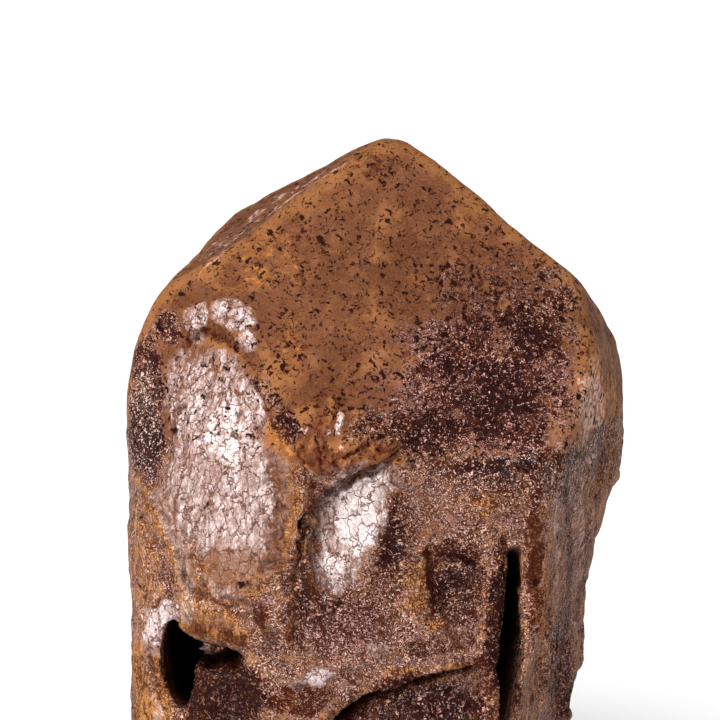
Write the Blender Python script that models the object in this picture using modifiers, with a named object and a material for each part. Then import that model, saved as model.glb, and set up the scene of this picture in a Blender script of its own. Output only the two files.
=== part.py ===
"""A brown barite crystal, 50 mm wide and 75 mm tall, standing on its flat broken foot.

The crystal is one solid. It starts as a block that planes cut to the crystal's faces: a roof of
slanting faces over a tapering prism. A sheath of later growth covers its upper part and ends in a
ragged lower edge, so the older core shows below that edge, set back and cracked. Cutters take away
what is missing from the block, a voxel remesh joins it all into one skin, and the skin is then pushed
in and out for its swellings, flutes and uneven grain.

Metres, +Z up. The front looks along -Y. The origin is the middle of the foot.
"""

import math
from collections import namedtuple

import bmesh
import bpy
from mathutils import Matrix, Vector, noise

# ---- Driving dimensions ----
# The block's own size: the swellings and the grain add up to 1 mm to its width and depth.
WIDTH = 0.0500
DEPTH = 0.0400
HEIGHT = 0.0750

HALF_WIDTH = WIDTH / 2
HALF_DEPTH = DEPTH / 2

EDGE_ROUNDING = 0.0011  # worn radius of the crystal's edges
SKIN_VOXEL = 0.00050
SKIN_TRIANGLES = 9300
FOOT_SPARE = 0.0030  # how far the block reaches below the cut that makes its flat foot

BROWN = (0.23, 0.10, 0.05, 1.0)
ROUGHNESS = 0.45

# ---- The crystal's faces ----
# Each is a plane: its azimuth turns from the front (0) to the right (90) and the back (180), and its
# elevation tips it up. It passes through a point given as shares of half the width, half the depth
# and the whole height.
Face = namedtuple("Face", "azimuth elevation point")
FACES = {
    # the roof
    "roof_front_left": Face(-7, 40, (0.04, 0.15, 1.000)),
    "roof_front_right": Face(7, 40, (0.04, 0.15, 1.000)),
    "roof_left": Face(-90, 57, (0.04, 0.15, 1.000)),
    "roof_right": Face(110, 44.5, (0.176, 0.15, 0.997)),
    "roof_back": Face(174, 42, (0.00, 0.36, 0.985)),
    "top": Face(20, 83, (0.10, 0.20, 0.9955)),
    # the shoulders, between the roof and the prism
    "shoulder_left": Face(-88, 14, (-0.915, -0.10, 0.779)),
    "shoulder_back_left": Face(-101, 34, (-0.815, -0.27, 0.835)),
    "shoulder_right": Face(82, 20, (1.016, 0.00, 0.670)),
    "shoulder_right_lower": Face(80, 3, (1.002, 0.25, 0.660)),
    "shoulder_back_right": Face(140, 30, (0.72, 0.55, 0.740)),
    # the prism
    "front": Face(0, -3, (0.00, -0.975, 0.600)),
    "front_left_upper": Face(-35, 16, (-0.56, -0.66, 0.600)),
    "front_left": Face(-38, -4, (-0.62, -0.79, 0.430)),
    "left_front": Face(-72, 1, (-0.93, -0.42, 0.500)),
    "left": Face(-92, -1, (-0.985, 0.10, 0.560)),
    "front_right": Face(34, -1, (0.67, -0.93, 0.560)),
    "right": Face(72, -8, (0.970, 0.05, 0.600)),
    "back_right": Face(128, -5, (0.80, 0.72, 0.500)),
    "back": Face(183, -2, (0.00, 0.945, 0.520)),
    "back_left": Face(-132, -3, (-0.80, 0.70, 0.500)),
    # chips off the broken foot
    "foot_chip_left": Face(-60, -46, (-0.72, -0.52, 0.010)),
    "foot_chip_right": Face(48, -50, (0.62, -0.62, 0.008)),
    "foot_chip_back": Face(150, -40, (0.50, 0.80, 0.015)),
}

# ---- What is missing from the block ----
# A slot lies at its place (shares of half width, half depth and height) and faces its azimuth, leaning back
# by its lean.  Its outline is (across, up) from the place, in shares of half width and of height.  It runs
# from out to into, in shares of half depth, and its inner end is narrowed by its taper.
Slot = namedtuple("Slot", "place azimuth lean out into taper outline")
SLOTS = {
    # the black upright cleft on the right of the front
    "cleft": Slot((0.550, -0.950, 0.400), 5, 0, 0.25, -0.45, 0.60, (
        (-0.016, 0.138), (0.040, 0.136), (0.072, 0.070), (0.056, 0.015), (0.064, -0.035), (0.030, -0.085),
        (0.010, -0.130), (-0.006, -0.180), (-0.020, -0.236), (-0.052, -0.238), (-0.050, -0.170), (-0.060, -0.115),
        (-0.084, -0.060), (-0.064, -0.010), (-0.048, 0.030), (-0.038, 0.085),
    )),
    # the ragged crack under the lower edge of the outer growth
    "edge_crack": Slot((0.100, -0.930, 0.310), 0, -18, 0.30, -0.35, 0.80, (
        (0.376, 0.047), (0.164, 0.030), (0.004, 0.015), (-0.116, 0.001), (-0.236, -0.019), (-0.324, -0.041),
        (-0.476, -0.069), (-0.548, -0.095), (-0.480, -0.131), (-0.396, -0.113), (-0.276, -0.081),
        (-0.196, -0.062), (-0.148, -0.044), (-0.076, -0.026), (0.004, -0.013), (0.164, 0.004), (0.376, 0.024),
    )),
    # the core that stands back below that crack
    "front_core": Slot((0.100, -0.850, 0.250), 0, 2, 0.50, 0.00, 1.00, (
        (0.316, 0.082), (0.164, 0.070), (0.004, 0.050), (-0.148, 0.020), (-0.276, -0.016), (-0.480, -0.065),
        (-0.430, -0.235), (0.010, -0.220), (0.350, -0.238), (0.290, -0.060),
    )),
    # the small step left of the cleft, deepest at its upper left corner
    "step_hollow": Slot((0.248, -0.922, 0.485), 7, -5, 0.40, 0.00, 0.97, (
        (-0.035, 0.010), (0.040, 0.018), (0.140, 0.008), (0.190, -0.030), (0.200, -0.075), (0.150, -0.110),
        (0.080, -0.116), (0.030, -0.090), (-0.002, -0.045),
    )),
    # the smooth oval facet, deepest at its upper left
    "oval_facet": Slot((-0.120, -0.910, 0.530), -17, 6, 0.45, 0.00, 0.97, (
        (-0.112, 0.037), (0.004, 0.070), (0.084, 0.087), (0.192, 0.102), (0.244, 0.077), (0.216, 0.009),
        (0.164, -0.045), (0.064, -0.086), (-0.096, -0.100), (-0.128, -0.045), (-0.128, 0.009),
    )),
    # the fold that parts the left lobe from the front
    "fold": Slot((-0.270, -0.930, 0.500), 10, -3, 0.30, -0.08, 0.60, (
        (0.034, 0.092), (0.022, 0.039), (0.000, 0.005), (-0.030, -0.018), (-0.040, -0.070), (-0.058, -0.128),
        (-0.094, -0.130), (-0.080, -0.070), (-0.072, -0.018), (-0.044, 0.005), (-0.020, 0.039), (0.000, 0.094),
    )),
    # the core that stands back below the outer growth on the right
    "right_core": Slot((0.792, -0.285, 0.480), 74, -7, 0.60, 0.00, 1.00, (
        (-0.700, 0.010), (-0.350, 0.035), (0.050, 0.010), (0.450, 0.045), (0.900, 0.000), (0.900, -0.600),
        (-0.700, -0.600),
    )),
    # a broad step and a narrow cleft on the back
    "back_step": Slot((0.350, 0.870, 0.340), 181, 3, 0.50, 0.00, 0.97, (
        (-0.500, 0.090), (-0.250, 0.160), (-0.060, 0.150), (0.200, 0.215), (0.400, 0.190), (0.440, 0.050),
        (0.370, -0.120), (0.000, -0.240), (-0.500, -0.220),
    )),
    "back_cleft": Slot((-0.300, 0.950, 0.400), 176, 0, 0.45, -0.35, 0.70, (
        (-0.010, 0.200), (0.050, 0.205), (0.070, 0.100), (0.045, -0.020), (-0.020, -0.190), (-0.080, -0.185),
        (-0.055, 0.000), (-0.030, 0.090),
    )),
}

# A hollow is an ellipsoid: its middle and radii in shares of half width, half depth and height, and the
# azimuth that its depth faces.
Hollow = namedtuple("Hollow", "middle radii azimuth")
HOLLOWS = {
    # the cavity low on the left: a deep black part beside the rim, a mouth under the lip, and its floor
    "cavity": Hollow((-0.755, -0.400, 0.326), (0.090, 0.430, 0.074), -6),
    "cavity_mouth": Hollow((-0.640, -0.740, 0.352), (0.185, 0.330, 0.022), -25),
    "cavity_floor": Hollow((-0.600, -0.960, 0.240), (0.190, 0.250, 0.125), -20),
    # worn scars on the back and on the right
    "back_scar": Hollow((-0.560, 1.020, 0.470), (0.250, 0.260, 0.110), 160),
    "right_scar": Hollow((0.950, 0.300, 0.200), (0.150, 0.300, 0.070), 0),
}

# ---- How the skin is pushed in and out ----
# A swelling raises the skin by its height (or sinks it, where that is negative) inside an ellipsoid.
Swelling = namedtuple("Swelling", "middle radii height")
SWELLINGS = {
    "left_lobe": Swelling((-0.590, -0.680, 0.585), (0.290, 0.420, 0.180), 0.0017),
    "lobe_cap": Swelling((-0.620, -0.380, 0.775), (0.210, 0.300, 0.045), 0.0005),
    "brow": Swelling((-0.130, -0.900, 0.660), (0.240, 0.300, 0.032), 0.0007),
    "middle_lobe": Swelling((-0.330, -0.940, 0.330), (0.200, 0.350, 0.115), 0.0009),
    "front_rib": Swelling((0.120, -0.960, 0.480), (0.080, 0.300, 0.110), 0.0005),
    "right_rib": Swelling((0.640, -0.850, 0.470), (0.060, 0.250, 0.170), 0.0006),
    "front_sag": Swelling((0.330, -0.980, 0.560), (0.260, 0.300, 0.060), -0.0004),
    "back_lobe": Swelling((0.450, 0.900, 0.620), (0.350, 0.500, 0.130), 0.0011),
    "back_foot": Swelling((-0.300, 0.900, 0.120), (0.450, 0.500, 0.090), 0.0008),
    "left_foot": Swelling((-0.900, 0.150, 0.170), (0.300, 0.500, 0.110), 0.0007),
    "right_waist": Swelling((0.850, 0.300, 0.330), (0.300, 0.500, 0.060), -0.0006),
    "right_ledge_slope": Swelling((0.930, 0.100, 0.485), (0.250, 0.700, 0.042), 0.0007),
    "cavity_lip": Swelling((-0.600, -0.800, 0.400), (0.220, 0.300, 0.036), 0.0008),
}

UNEVEN_SCALE = 0.0085
UNEVEN_HEIGHT = 0.00045
GRAIN_SCALE = 0.0030
GRAIN_HEIGHT = 0.00016

FLUTE_SPACING = 0.0019
FLUTE_STRETCH = 9.0  # how many times longer than wide a flute is
FLUTE_DEPTH = 0.00042
FLUTED_BELOW = 0.64  # share of the height


def direction(azimuth, elevation=0.0):
    """The unit vector at that azimuth and elevation, in degrees."""
    a = math.radians(azimuth)
    e = math.radians(elevation)
    return Vector((math.sin(a) * math.cos(e), -math.cos(a) * math.cos(e), math.sin(e)))


def placed(shares):
    """The point, or the size, at those shares of half the width, half the depth and the height."""
    across, along, up = shares
    return Vector((across * HALF_WIDTH, along * HALF_DEPTH, up * HEIGHT))


def collection(name):
    """A new collection in the scene."""
    made = bpy.data.collections.new(name)
    bpy.context.scene.collection.children.link(made)
    return made


def mesh_object(name, make_mesh, where):
    """A mesh object in a collection, with the mesh that make_mesh(bm) builds, in triangles."""
    bm = bmesh.new()
    make_mesh(bm)
    bmesh.ops.triangulate(bm, faces=bm.faces)
    bmesh.ops.recalc_face_normals(bm, faces=bm.faces)
    mesh = bpy.data.meshes.new(name)
    bm.to_mesh(mesh)
    bm.free()
    made = bpy.data.objects.new(name, mesh)
    where.objects.link(made)
    return made


# ---- The block ----
def cut_block(bm):
    """A cube that each face's plane cuts back, its edges then rounded."""
    tall = HEIGHT + FOOT_SPARE
    middle = Matrix.Translation((0, 0, HEIGHT - tall / 2))
    bmesh.ops.create_cube(bm, size=1.0, matrix=middle @ Matrix.Diagonal((2 * WIDTH, 2 * DEPTH, tall, 1)))
    for face in FACES.values():
        cut = bmesh.ops.bisect_plane(
            bm,
            geom=bm.verts[:] + bm.edges[:] + bm.faces[:],
            plane_co=placed(face.point),
            plane_no=direction(face.azimuth, face.elevation),
            clear_outer=True,
        )
        rim = [e for e in cut["geom_cut"] if isinstance(e, bmesh.types.BMEdge)]
        bmesh.ops.edgeloop_fill(bm, edges=rim)
    bmesh.ops.dissolve_degenerate(bm, edges=bm.edges, dist=0.0002)
    bmesh.ops.bevel(bm, geom=bm.edges[:], offset=EDGE_ROUNDING, segments=2, affect="EDGES", profile=0.5)


# ---- The cutters ----
def foot_mesh(bm):
    """A box whose top is the plane of the flat foot."""
    middle = Matrix.Translation((0, 0, -2 * FOOT_SPARE))
    bmesh.ops.create_cube(bm, size=1.0, matrix=middle @ Matrix.Diagonal((2 * WIDTH, 2 * DEPTH, 4 * FOOT_SPARE, 1)))


def slot_mesh(bm, slot):
    """The slot's outline, extruded inwards and narrowed."""
    place = placed(slot.place)
    outwards = direction(slot.azimuth, slot.lean)
    rightwards = direction(slot.azimuth + 90)
    upwards = rightwards.cross(outwards) * -1
    flat = [place + rightwards * (across * HALF_WIDTH) + upwards * (up * HEIGHT) for across, up in slot.outline]
    outer = bm.faces.new([bm.verts.new(p + outwards * (slot.out * HALF_DEPTH)) for p in flat])
    made = bmesh.ops.extrude_face_region(bm, geom=[outer])["geom"]
    inner = [v for v in made if isinstance(v, bmesh.types.BMVert)]
    middle = sum((v.co for v in inner), Vector()) / len(inner)
    inwards = outwards * ((slot.into - slot.out) * HALF_DEPTH)
    for vert in inner:
        vert.co = middle + (vert.co - middle) * slot.taper + inwards


def hollow_mesh(bm, hollow):
    """The hollow's ellipsoid."""
    place = Matrix.Translation(placed(hollow.middle)) @ Matrix.Rotation(math.radians(hollow.azimuth), 4, "Z")
    stretch = Matrix.Diagonal((*placed(hollow.radii), 1))
    bmesh.ops.create_icosphere(bm, subdivisions=3, radius=1.0, matrix=place @ stretch)


def cut_with(solid, cutter):
    """A Boolean on the solid that takes the cutter away."""
    cutter.hide_render = True
    cutter.display_type = "WIRE"
    taken = solid.modifiers.new(cutter.name, "BOOLEAN")
    taken.operation = "DIFFERENCE"
    taken.solver = "EXACT"
    taken.object = cutter


# ---- The skin ----
def joined_skin(block, name, where):
    """The cut block as one even mesh, in a new object."""
    skin = block.modifiers.new("skin", "REMESH")
    skin.mode = "VOXEL"
    skin.voxel_size = SKIN_VOXEL
    graph = bpy.context.evaluated_depsgraph_get()
    mesh = bpy.data.meshes.new_from_object(block.evaluated_get(graph))
    mesh.name = name
    made = bpy.data.objects.new(name, mesh)
    where.objects.link(made)
    return made


def swollen(point):
    """How far the swellings raise the skin at a point."""
    total = 0.0
    for swelling in SWELLINGS.values():
        middle = placed(swelling.middle)
        radii = placed(swelling.radii)
        away = sum(((point[k] - middle[k]) / radii[k]) ** 2 for k in range(3))
        total += swelling.height * math.exp(-away * away)
    return total


def fluted(point, normal):
    """How far the upright flutes of the prism sink the skin at a point."""
    upright = max(0.0, 1.0 - 2.5 * abs(normal.z))
    height_share = point.z / HEIGHT
    below = min(1.0, max(0.0, (FLUTED_BELOW - height_share) * 12))
    turned = min(1.0, max(0.15, 1.0 + 1.2 * normal.y))  # the front is rough, and less fluted
    run = Vector((point.x, point.y, point.z / FLUTE_STRETCH)) / FLUTE_SPACING
    return -FLUTE_DEPTH * upright * below * turned * max(0.0, noise.noise(run) * 2.0)


def uneven(point):
    """The slow and the fine unevenness of the skin at a point."""
    slow = noise.noise(point / UNEVEN_SCALE) * UNEVEN_HEIGHT
    fine = noise.noise(point / GRAIN_SCALE) * GRAIN_HEIGHT
    return slow + fine


def shape_skin(mesh):
    """Moves each point of the skin along its normal."""
    moves = []
    for vert in mesh.vertices:
        point = vert.co.copy()
        normal = vert.normal.copy()
        moves.append(point + normal * (swollen(point) + fluted(point, normal) + uneven(point)))
    for vert, moved in zip(mesh.vertices, moves):
        vert.co = moved


def centre_over_origin(mesh):
    """Puts the middle of the crystal's bounding box over the origin."""
    for k in range(2):
        side = [v.co[k] for v in mesh.vertices]
        middle = (min(side) + max(side)) / 2
        for vert in mesh.vertices:
            vert.co[k] -= middle


def thin_out(crystal):
    """Fewer triangles, most of them kept where the skin turns."""
    mesh = crystal.data
    triangles = sum(len(face.vertices) - 2 for face in mesh.polygons)
    thinned = crystal.modifiers.new("thinned", "DECIMATE")
    thinned.ratio = SKIN_TRIANGLES / triangles


def brown_barite():
    """The stone's plain brown."""
    made = bpy.data.materials.new("brown_barite")
    made.use_nodes = True
    shader = made.node_tree.nodes["Principled BSDF"]
    shader.inputs["Base Color"].default_value = BROWN
    shader.inputs["Roughness"].default_value = ROUGHNESS
    shader.inputs["Metallic"].default_value = 0.0
    return made


def main():
    for old in list(bpy.data.objects):
        bpy.data.objects.remove(old)
    specimen = collection("barite_specimen")
    cutters = collection("cutters")
    block = mesh_object("block", cut_block, cutters)
    block.hide_render = True
    block.display_type = "WIRE"
    for name, slot in SLOTS.items():
        cut_with(block, mesh_object(name, lambda bm, s=slot: slot_mesh(bm, s), cutters))
    for name, hollow in HOLLOWS.items():
        cut_with(block, mesh_object(name, lambda bm, h=hollow: hollow_mesh(bm, h), cutters))
    crystal = joined_skin(block, "barite_crystal", specimen)
    shape_skin(crystal.data)
    centre_over_origin(crystal.data)
    crystal.data.materials.append(brown_barite())
    thin_out(crystal)
    cut_with(crystal, mesh_object("foot", foot_mesh, cutters))


main()
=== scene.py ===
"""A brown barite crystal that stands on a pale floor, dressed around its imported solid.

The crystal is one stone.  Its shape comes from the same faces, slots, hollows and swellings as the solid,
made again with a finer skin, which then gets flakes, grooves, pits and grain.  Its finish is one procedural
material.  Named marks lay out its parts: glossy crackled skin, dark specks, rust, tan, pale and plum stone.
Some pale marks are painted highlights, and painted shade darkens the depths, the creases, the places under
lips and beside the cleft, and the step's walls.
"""

import logging
import math
from dataclasses import dataclass
from enum import Enum
from functools import partial
from typing import Callable, Iterable, Sequence

import bmesh
import bpy
import numpy as np
from mathutils import Matrix, Vector, noise


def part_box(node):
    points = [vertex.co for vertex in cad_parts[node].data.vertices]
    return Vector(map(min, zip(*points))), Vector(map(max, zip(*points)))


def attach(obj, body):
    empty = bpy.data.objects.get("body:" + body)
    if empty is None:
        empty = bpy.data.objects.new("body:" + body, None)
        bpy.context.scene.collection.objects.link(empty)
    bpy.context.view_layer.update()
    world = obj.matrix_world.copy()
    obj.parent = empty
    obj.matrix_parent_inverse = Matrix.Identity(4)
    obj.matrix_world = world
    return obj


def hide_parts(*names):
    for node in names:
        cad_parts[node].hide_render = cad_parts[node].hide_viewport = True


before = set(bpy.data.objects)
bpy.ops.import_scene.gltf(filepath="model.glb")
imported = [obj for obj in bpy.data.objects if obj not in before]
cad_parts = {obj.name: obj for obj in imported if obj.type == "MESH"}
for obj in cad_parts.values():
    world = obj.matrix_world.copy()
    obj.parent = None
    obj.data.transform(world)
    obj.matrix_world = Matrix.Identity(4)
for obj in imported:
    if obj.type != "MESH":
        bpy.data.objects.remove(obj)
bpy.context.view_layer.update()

LOG = logging.getLogger("barite")

Colour = tuple[float, float, float]
Pair = tuple[float, float]
Triple = tuple[float, float, float]
Array = np.ndarray

NODE = "barite_crystal"
MM = 0.001
MEAN_COLOUR: Triple = (0.5, 0.5, 0.5)
SHIFT_DIRECTION: Triple = (1.0, 0.7, -1.0)


def direction(azimuth: float, elevation: float = 0.0) -> Vector:
    """The unit vector at an azimuth (0 is the front, 90 the right) and an elevation, in degrees."""
    a, e = math.radians(azimuth), math.radians(elevation)
    return Vector((math.sin(a) * math.cos(e), -math.cos(a) * math.cos(e), math.sin(e)))


def smooth_step(low: float, high: float, values: Array) -> Array:
    """0 below low, 1 above high, and a smooth rise between them."""
    t = np.clip((values - low) / (high - low), 0.0, 1.0)
    return t * t * (3.0 - 2.0 * t)


def noise_at(points: Array, scale: float, shift: float) -> Array:
    """Perlin noise from about -1 to 1 at each point; scale is the size of its lumps in millimetres."""
    shifted = points / scale + shift
    return np.array([noise.noise(p) for p in map(Vector, shifted.tolist())])


@dataclass(frozen=True)
class Ripple:
    """A noise that moves points: the size of its lumps and its reach in millimetres, and its own shift."""

    scale: float
    reach: float
    shift: float = 0.0

    def at(self, points: Array, more_shift: float = 0.0) -> Array:
        """How far it moves each point, in millimetres."""
        return noise_at(points, self.scale, self.shift + more_shift) * self.reach


# ---- The block: its faces and what is missing from it ----
@dataclass(frozen=True)
class Face:
    """A natural face: a plane at an azimuth and elevation, through a point in shares of the block's size."""

    azimuth: float
    elevation: float
    point: Triple


@dataclass(frozen=True)
class Slot:
    """A straight-sided slot.  Its outline is (across, up) from its place, and it runs from out to into."""

    place: Triple
    azimuth: float
    lean: float
    out: float
    into: float
    taper: float
    outline: tuple[Pair, ...]


@dataclass(frozen=True)
class Hollow:
    """An ellipsoidal hollow whose depth faces an azimuth, in shares of the block's size."""

    middle: Triple
    radii: Triple
    azimuth: float


@dataclass(frozen=True)
class Swelling:
    """Raises the skin by a height in metres inside an ellipsoid, in shares of the block's size."""

    middle: Triple
    radii: Triple
    height: float


FACES = (
    # the roof
    Face(-7, 40, (0.04, 0.15, 1.000)),
    Face(7, 40, (0.04, 0.15, 1.000)),
    Face(-90, 57, (0.04, 0.15, 1.000)),
    Face(110, 44.5, (0.176, 0.15, 0.997)),
    Face(174, 42, (0.00, 0.36, 0.985)),
    Face(20, 83, (0.10, 0.20, 0.9955)),
    # the shoulders, between the roof and the prism
    Face(-88, 14, (-0.915, -0.10, 0.779)),
    Face(-101, 34, (-0.815, -0.27, 0.835)),
    Face(82, 20, (1.016, 0.00, 0.670)),
    Face(80, 3, (1.002, 0.25, 0.660)),
    Face(140, 30, (0.72, 0.55, 0.740)),
    # the prism
    Face(0, -3, (0.00, -0.975, 0.600)),
    Face(-35, 16, (-0.56, -0.66, 0.600)),
    Face(-38, -4, (-0.62, -0.79, 0.430)),
    Face(-72, 1, (-0.93, -0.42, 0.500)),
    Face(-92, -1, (-0.985, 0.10, 0.560)),
    Face(34, -1, (0.67, -0.93, 0.560)),
    Face(72, -8, (0.970, 0.05, 0.600)),
    Face(128, -5, (0.80, 0.72, 0.500)),
    Face(183, -2, (0.00, 0.945, 0.520)),
    Face(-132, -3, (-0.80, 0.70, 0.500)),
    # chips off the broken foot
    Face(-60, -46, (-0.72, -0.52, 0.010)),
    Face(48, -50, (0.62, -0.62, 0.008)),
    Face(150, -40, (0.50, 0.80, 0.015)),
)

SLOTS = (
    # the black upright cleft on the right of the front
    Slot((0.550, -0.950, 0.400), 5, 0, 0.25, -0.45, 0.60, (
        (-0.016, 0.138), (0.040, 0.136), (0.072, 0.070), (0.056, 0.015), (0.064, -0.035), (0.030, -0.085),
        (0.010, -0.130), (-0.006, -0.180), (-0.020, -0.236), (-0.052, -0.238), (-0.050, -0.170),
        (-0.060, -0.115), (-0.084, -0.060), (-0.064, -0.010), (-0.048, 0.030), (-0.038, 0.085),
    )),
    # the ragged crack under the lower edge of the outer growth
    Slot((0.100, -0.930, 0.310), 0, -18, 0.30, -0.35, 0.80, (
        (0.376, 0.047), (0.164, 0.030), (0.004, 0.015), (-0.116, 0.001), (-0.236, -0.019), (-0.324, -0.041),
        (-0.476, -0.069), (-0.548, -0.095), (-0.480, -0.131), (-0.396, -0.113), (-0.276, -0.081),
        (-0.196, -0.062), (-0.148, -0.044), (-0.076, -0.026), (0.004, -0.013), (0.164, 0.004), (0.376, 0.024),
    )),
    # the core that stands back below that crack
    Slot((0.100, -0.850, 0.250), 0, 2, 0.50, 0.00, 1.00, (
        (0.316, 0.082), (0.164, 0.070), (0.004, 0.050), (-0.148, 0.020), (-0.276, -0.016), (-0.480, -0.065),
        (-0.430, -0.235), (0.010, -0.220), (0.350, -0.238), (0.290, -0.060),
    )),
    # the small step left of the cleft, deepest at its upper left corner
    Slot((0.248, -0.922, 0.485), 7, -5, 0.40, 0.00, 0.97, (
        (-0.035, 0.010), (0.040, 0.018), (0.140, 0.008), (0.190, -0.030), (0.200, -0.075), (0.150, -0.110),
        (0.080, -0.116), (0.030, -0.090), (-0.002, -0.045),
    )),
    # the smooth oval facet, deepest at its upper left
    Slot((-0.120, -0.910, 0.530), -17, 6, 0.45, 0.00, 0.97, (
        (-0.112, 0.037), (0.004, 0.070), (0.084, 0.087), (0.192, 0.102), (0.244, 0.077), (0.216, 0.009),
        (0.164, -0.045), (0.064, -0.086), (-0.096, -0.100), (-0.128, -0.045), (-0.128, 0.009),
    )),
    # the fold that parts the left lobe from the front
    Slot((-0.270, -0.930, 0.500), 10, -3, 0.30, -0.08, 0.60, (
        (0.034, 0.092), (0.022, 0.039), (0.000, 0.005), (-0.030, -0.018), (-0.040, -0.070), (-0.058, -0.128),
        (-0.094, -0.130), (-0.080, -0.070), (-0.072, -0.018), (-0.044, 0.005), (-0.020, 0.039),
        (0.000, 0.094),
    )),
    # the core that stands back below the outer growth on the right
    Slot((0.792, -0.285, 0.480), 74, -7, 0.60, 0.00, 1.00, (
        (-0.700, 0.010), (-0.350, 0.035), (0.050, 0.010), (0.450, 0.045), (0.900, 0.000), (0.900, -0.600),
        (-0.700, -0.600),
    )),
    # a broad step and a narrow cleft on the back
    Slot((0.350, 0.870, 0.340), 181, 3, 0.50, 0.00, 0.97, (
        (-0.500, 0.090), (-0.250, 0.160), (-0.060, 0.150), (0.200, 0.215), (0.400, 0.190), (0.440, 0.050),
        (0.370, -0.120), (0.000, -0.240), (-0.500, -0.220),
    )),
    Slot((-0.300, 0.950, 0.400), 176, 0, 0.45, -0.35, 0.70, (
        (-0.010, 0.200), (0.050, 0.205), (0.070, 0.100), (0.045, -0.020), (-0.020, -0.190), (-0.080, -0.185),
        (-0.055, 0.000), (-0.030, 0.090),
    )),
)

HOLLOWS = (
    # the cavity low on the left: a deep black part beside the rim, a mouth under the lip, and its floor
    Hollow((-0.755, -0.400, 0.326), (0.090, 0.430, 0.074), -6),
    Hollow((-0.640, -0.740, 0.352), (0.185, 0.330, 0.022), -25),
    Hollow((-0.600, -0.960, 0.240), (0.190, 0.250, 0.125), -20),
    # worn scars on the back and on the right
    Hollow((-0.560, 1.020, 0.470), (0.250, 0.260, 0.110), 160),
    Hollow((0.950, 0.300, 0.200), (0.150, 0.300, 0.070), 0),
)

SWELLINGS = (
    Swelling((-0.590, -0.680, 0.585), (0.290, 0.420, 0.180), 0.0017),  # the left lobe
    Swelling((-0.620, -0.380, 0.775), (0.210, 0.300, 0.045), 0.0005),  # the cap over it
    Swelling((-0.130, -0.900, 0.660), (0.240, 0.300, 0.032), 0.0007),  # the brow over the oval facet
    Swelling((-0.330, -0.940, 0.330), (0.200, 0.350, 0.115), 0.0009),  # the middle lobe
    Swelling((0.120, -0.960, 0.480), (0.080, 0.300, 0.110), 0.0005),  # the front rib
    Swelling((0.640, -0.850, 0.470), (0.060, 0.250, 0.170), 0.0006),  # the rib right of the cleft
    Swelling((0.330, -0.980, 0.560), (0.260, 0.300, 0.060), -0.0004),  # the sag under the roof's edge
    Swelling((0.450, 0.900, 0.620), (0.350, 0.500, 0.130), 0.0011),  # a lobe on the back
    Swelling((-0.300, 0.900, 0.120), (0.450, 0.500, 0.090), 0.0008),  # the back of the foot
    Swelling((-0.900, 0.150, 0.170), (0.300, 0.500, 0.110), 0.0007),  # the left of the foot
    Swelling((0.850, 0.300, 0.330), (0.300, 0.500, 0.060), -0.0006),  # the waist on the right
    Swelling((0.930, 0.100, 0.485), (0.250, 0.700, 0.042), 0.0007),  # the slope under the ledge on the right
    Swelling((-0.600, -0.800, 0.400), (0.220, 0.300, 0.036), 0.0008),  # the lip over the cavity
)

# where the skin is worn smoother than elsewhere: the lip of the ledge on the right
WORN = (Swelling((1.000, 0.000, 0.497), (0.120, 1.100, 0.045), 0.0),)


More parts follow.
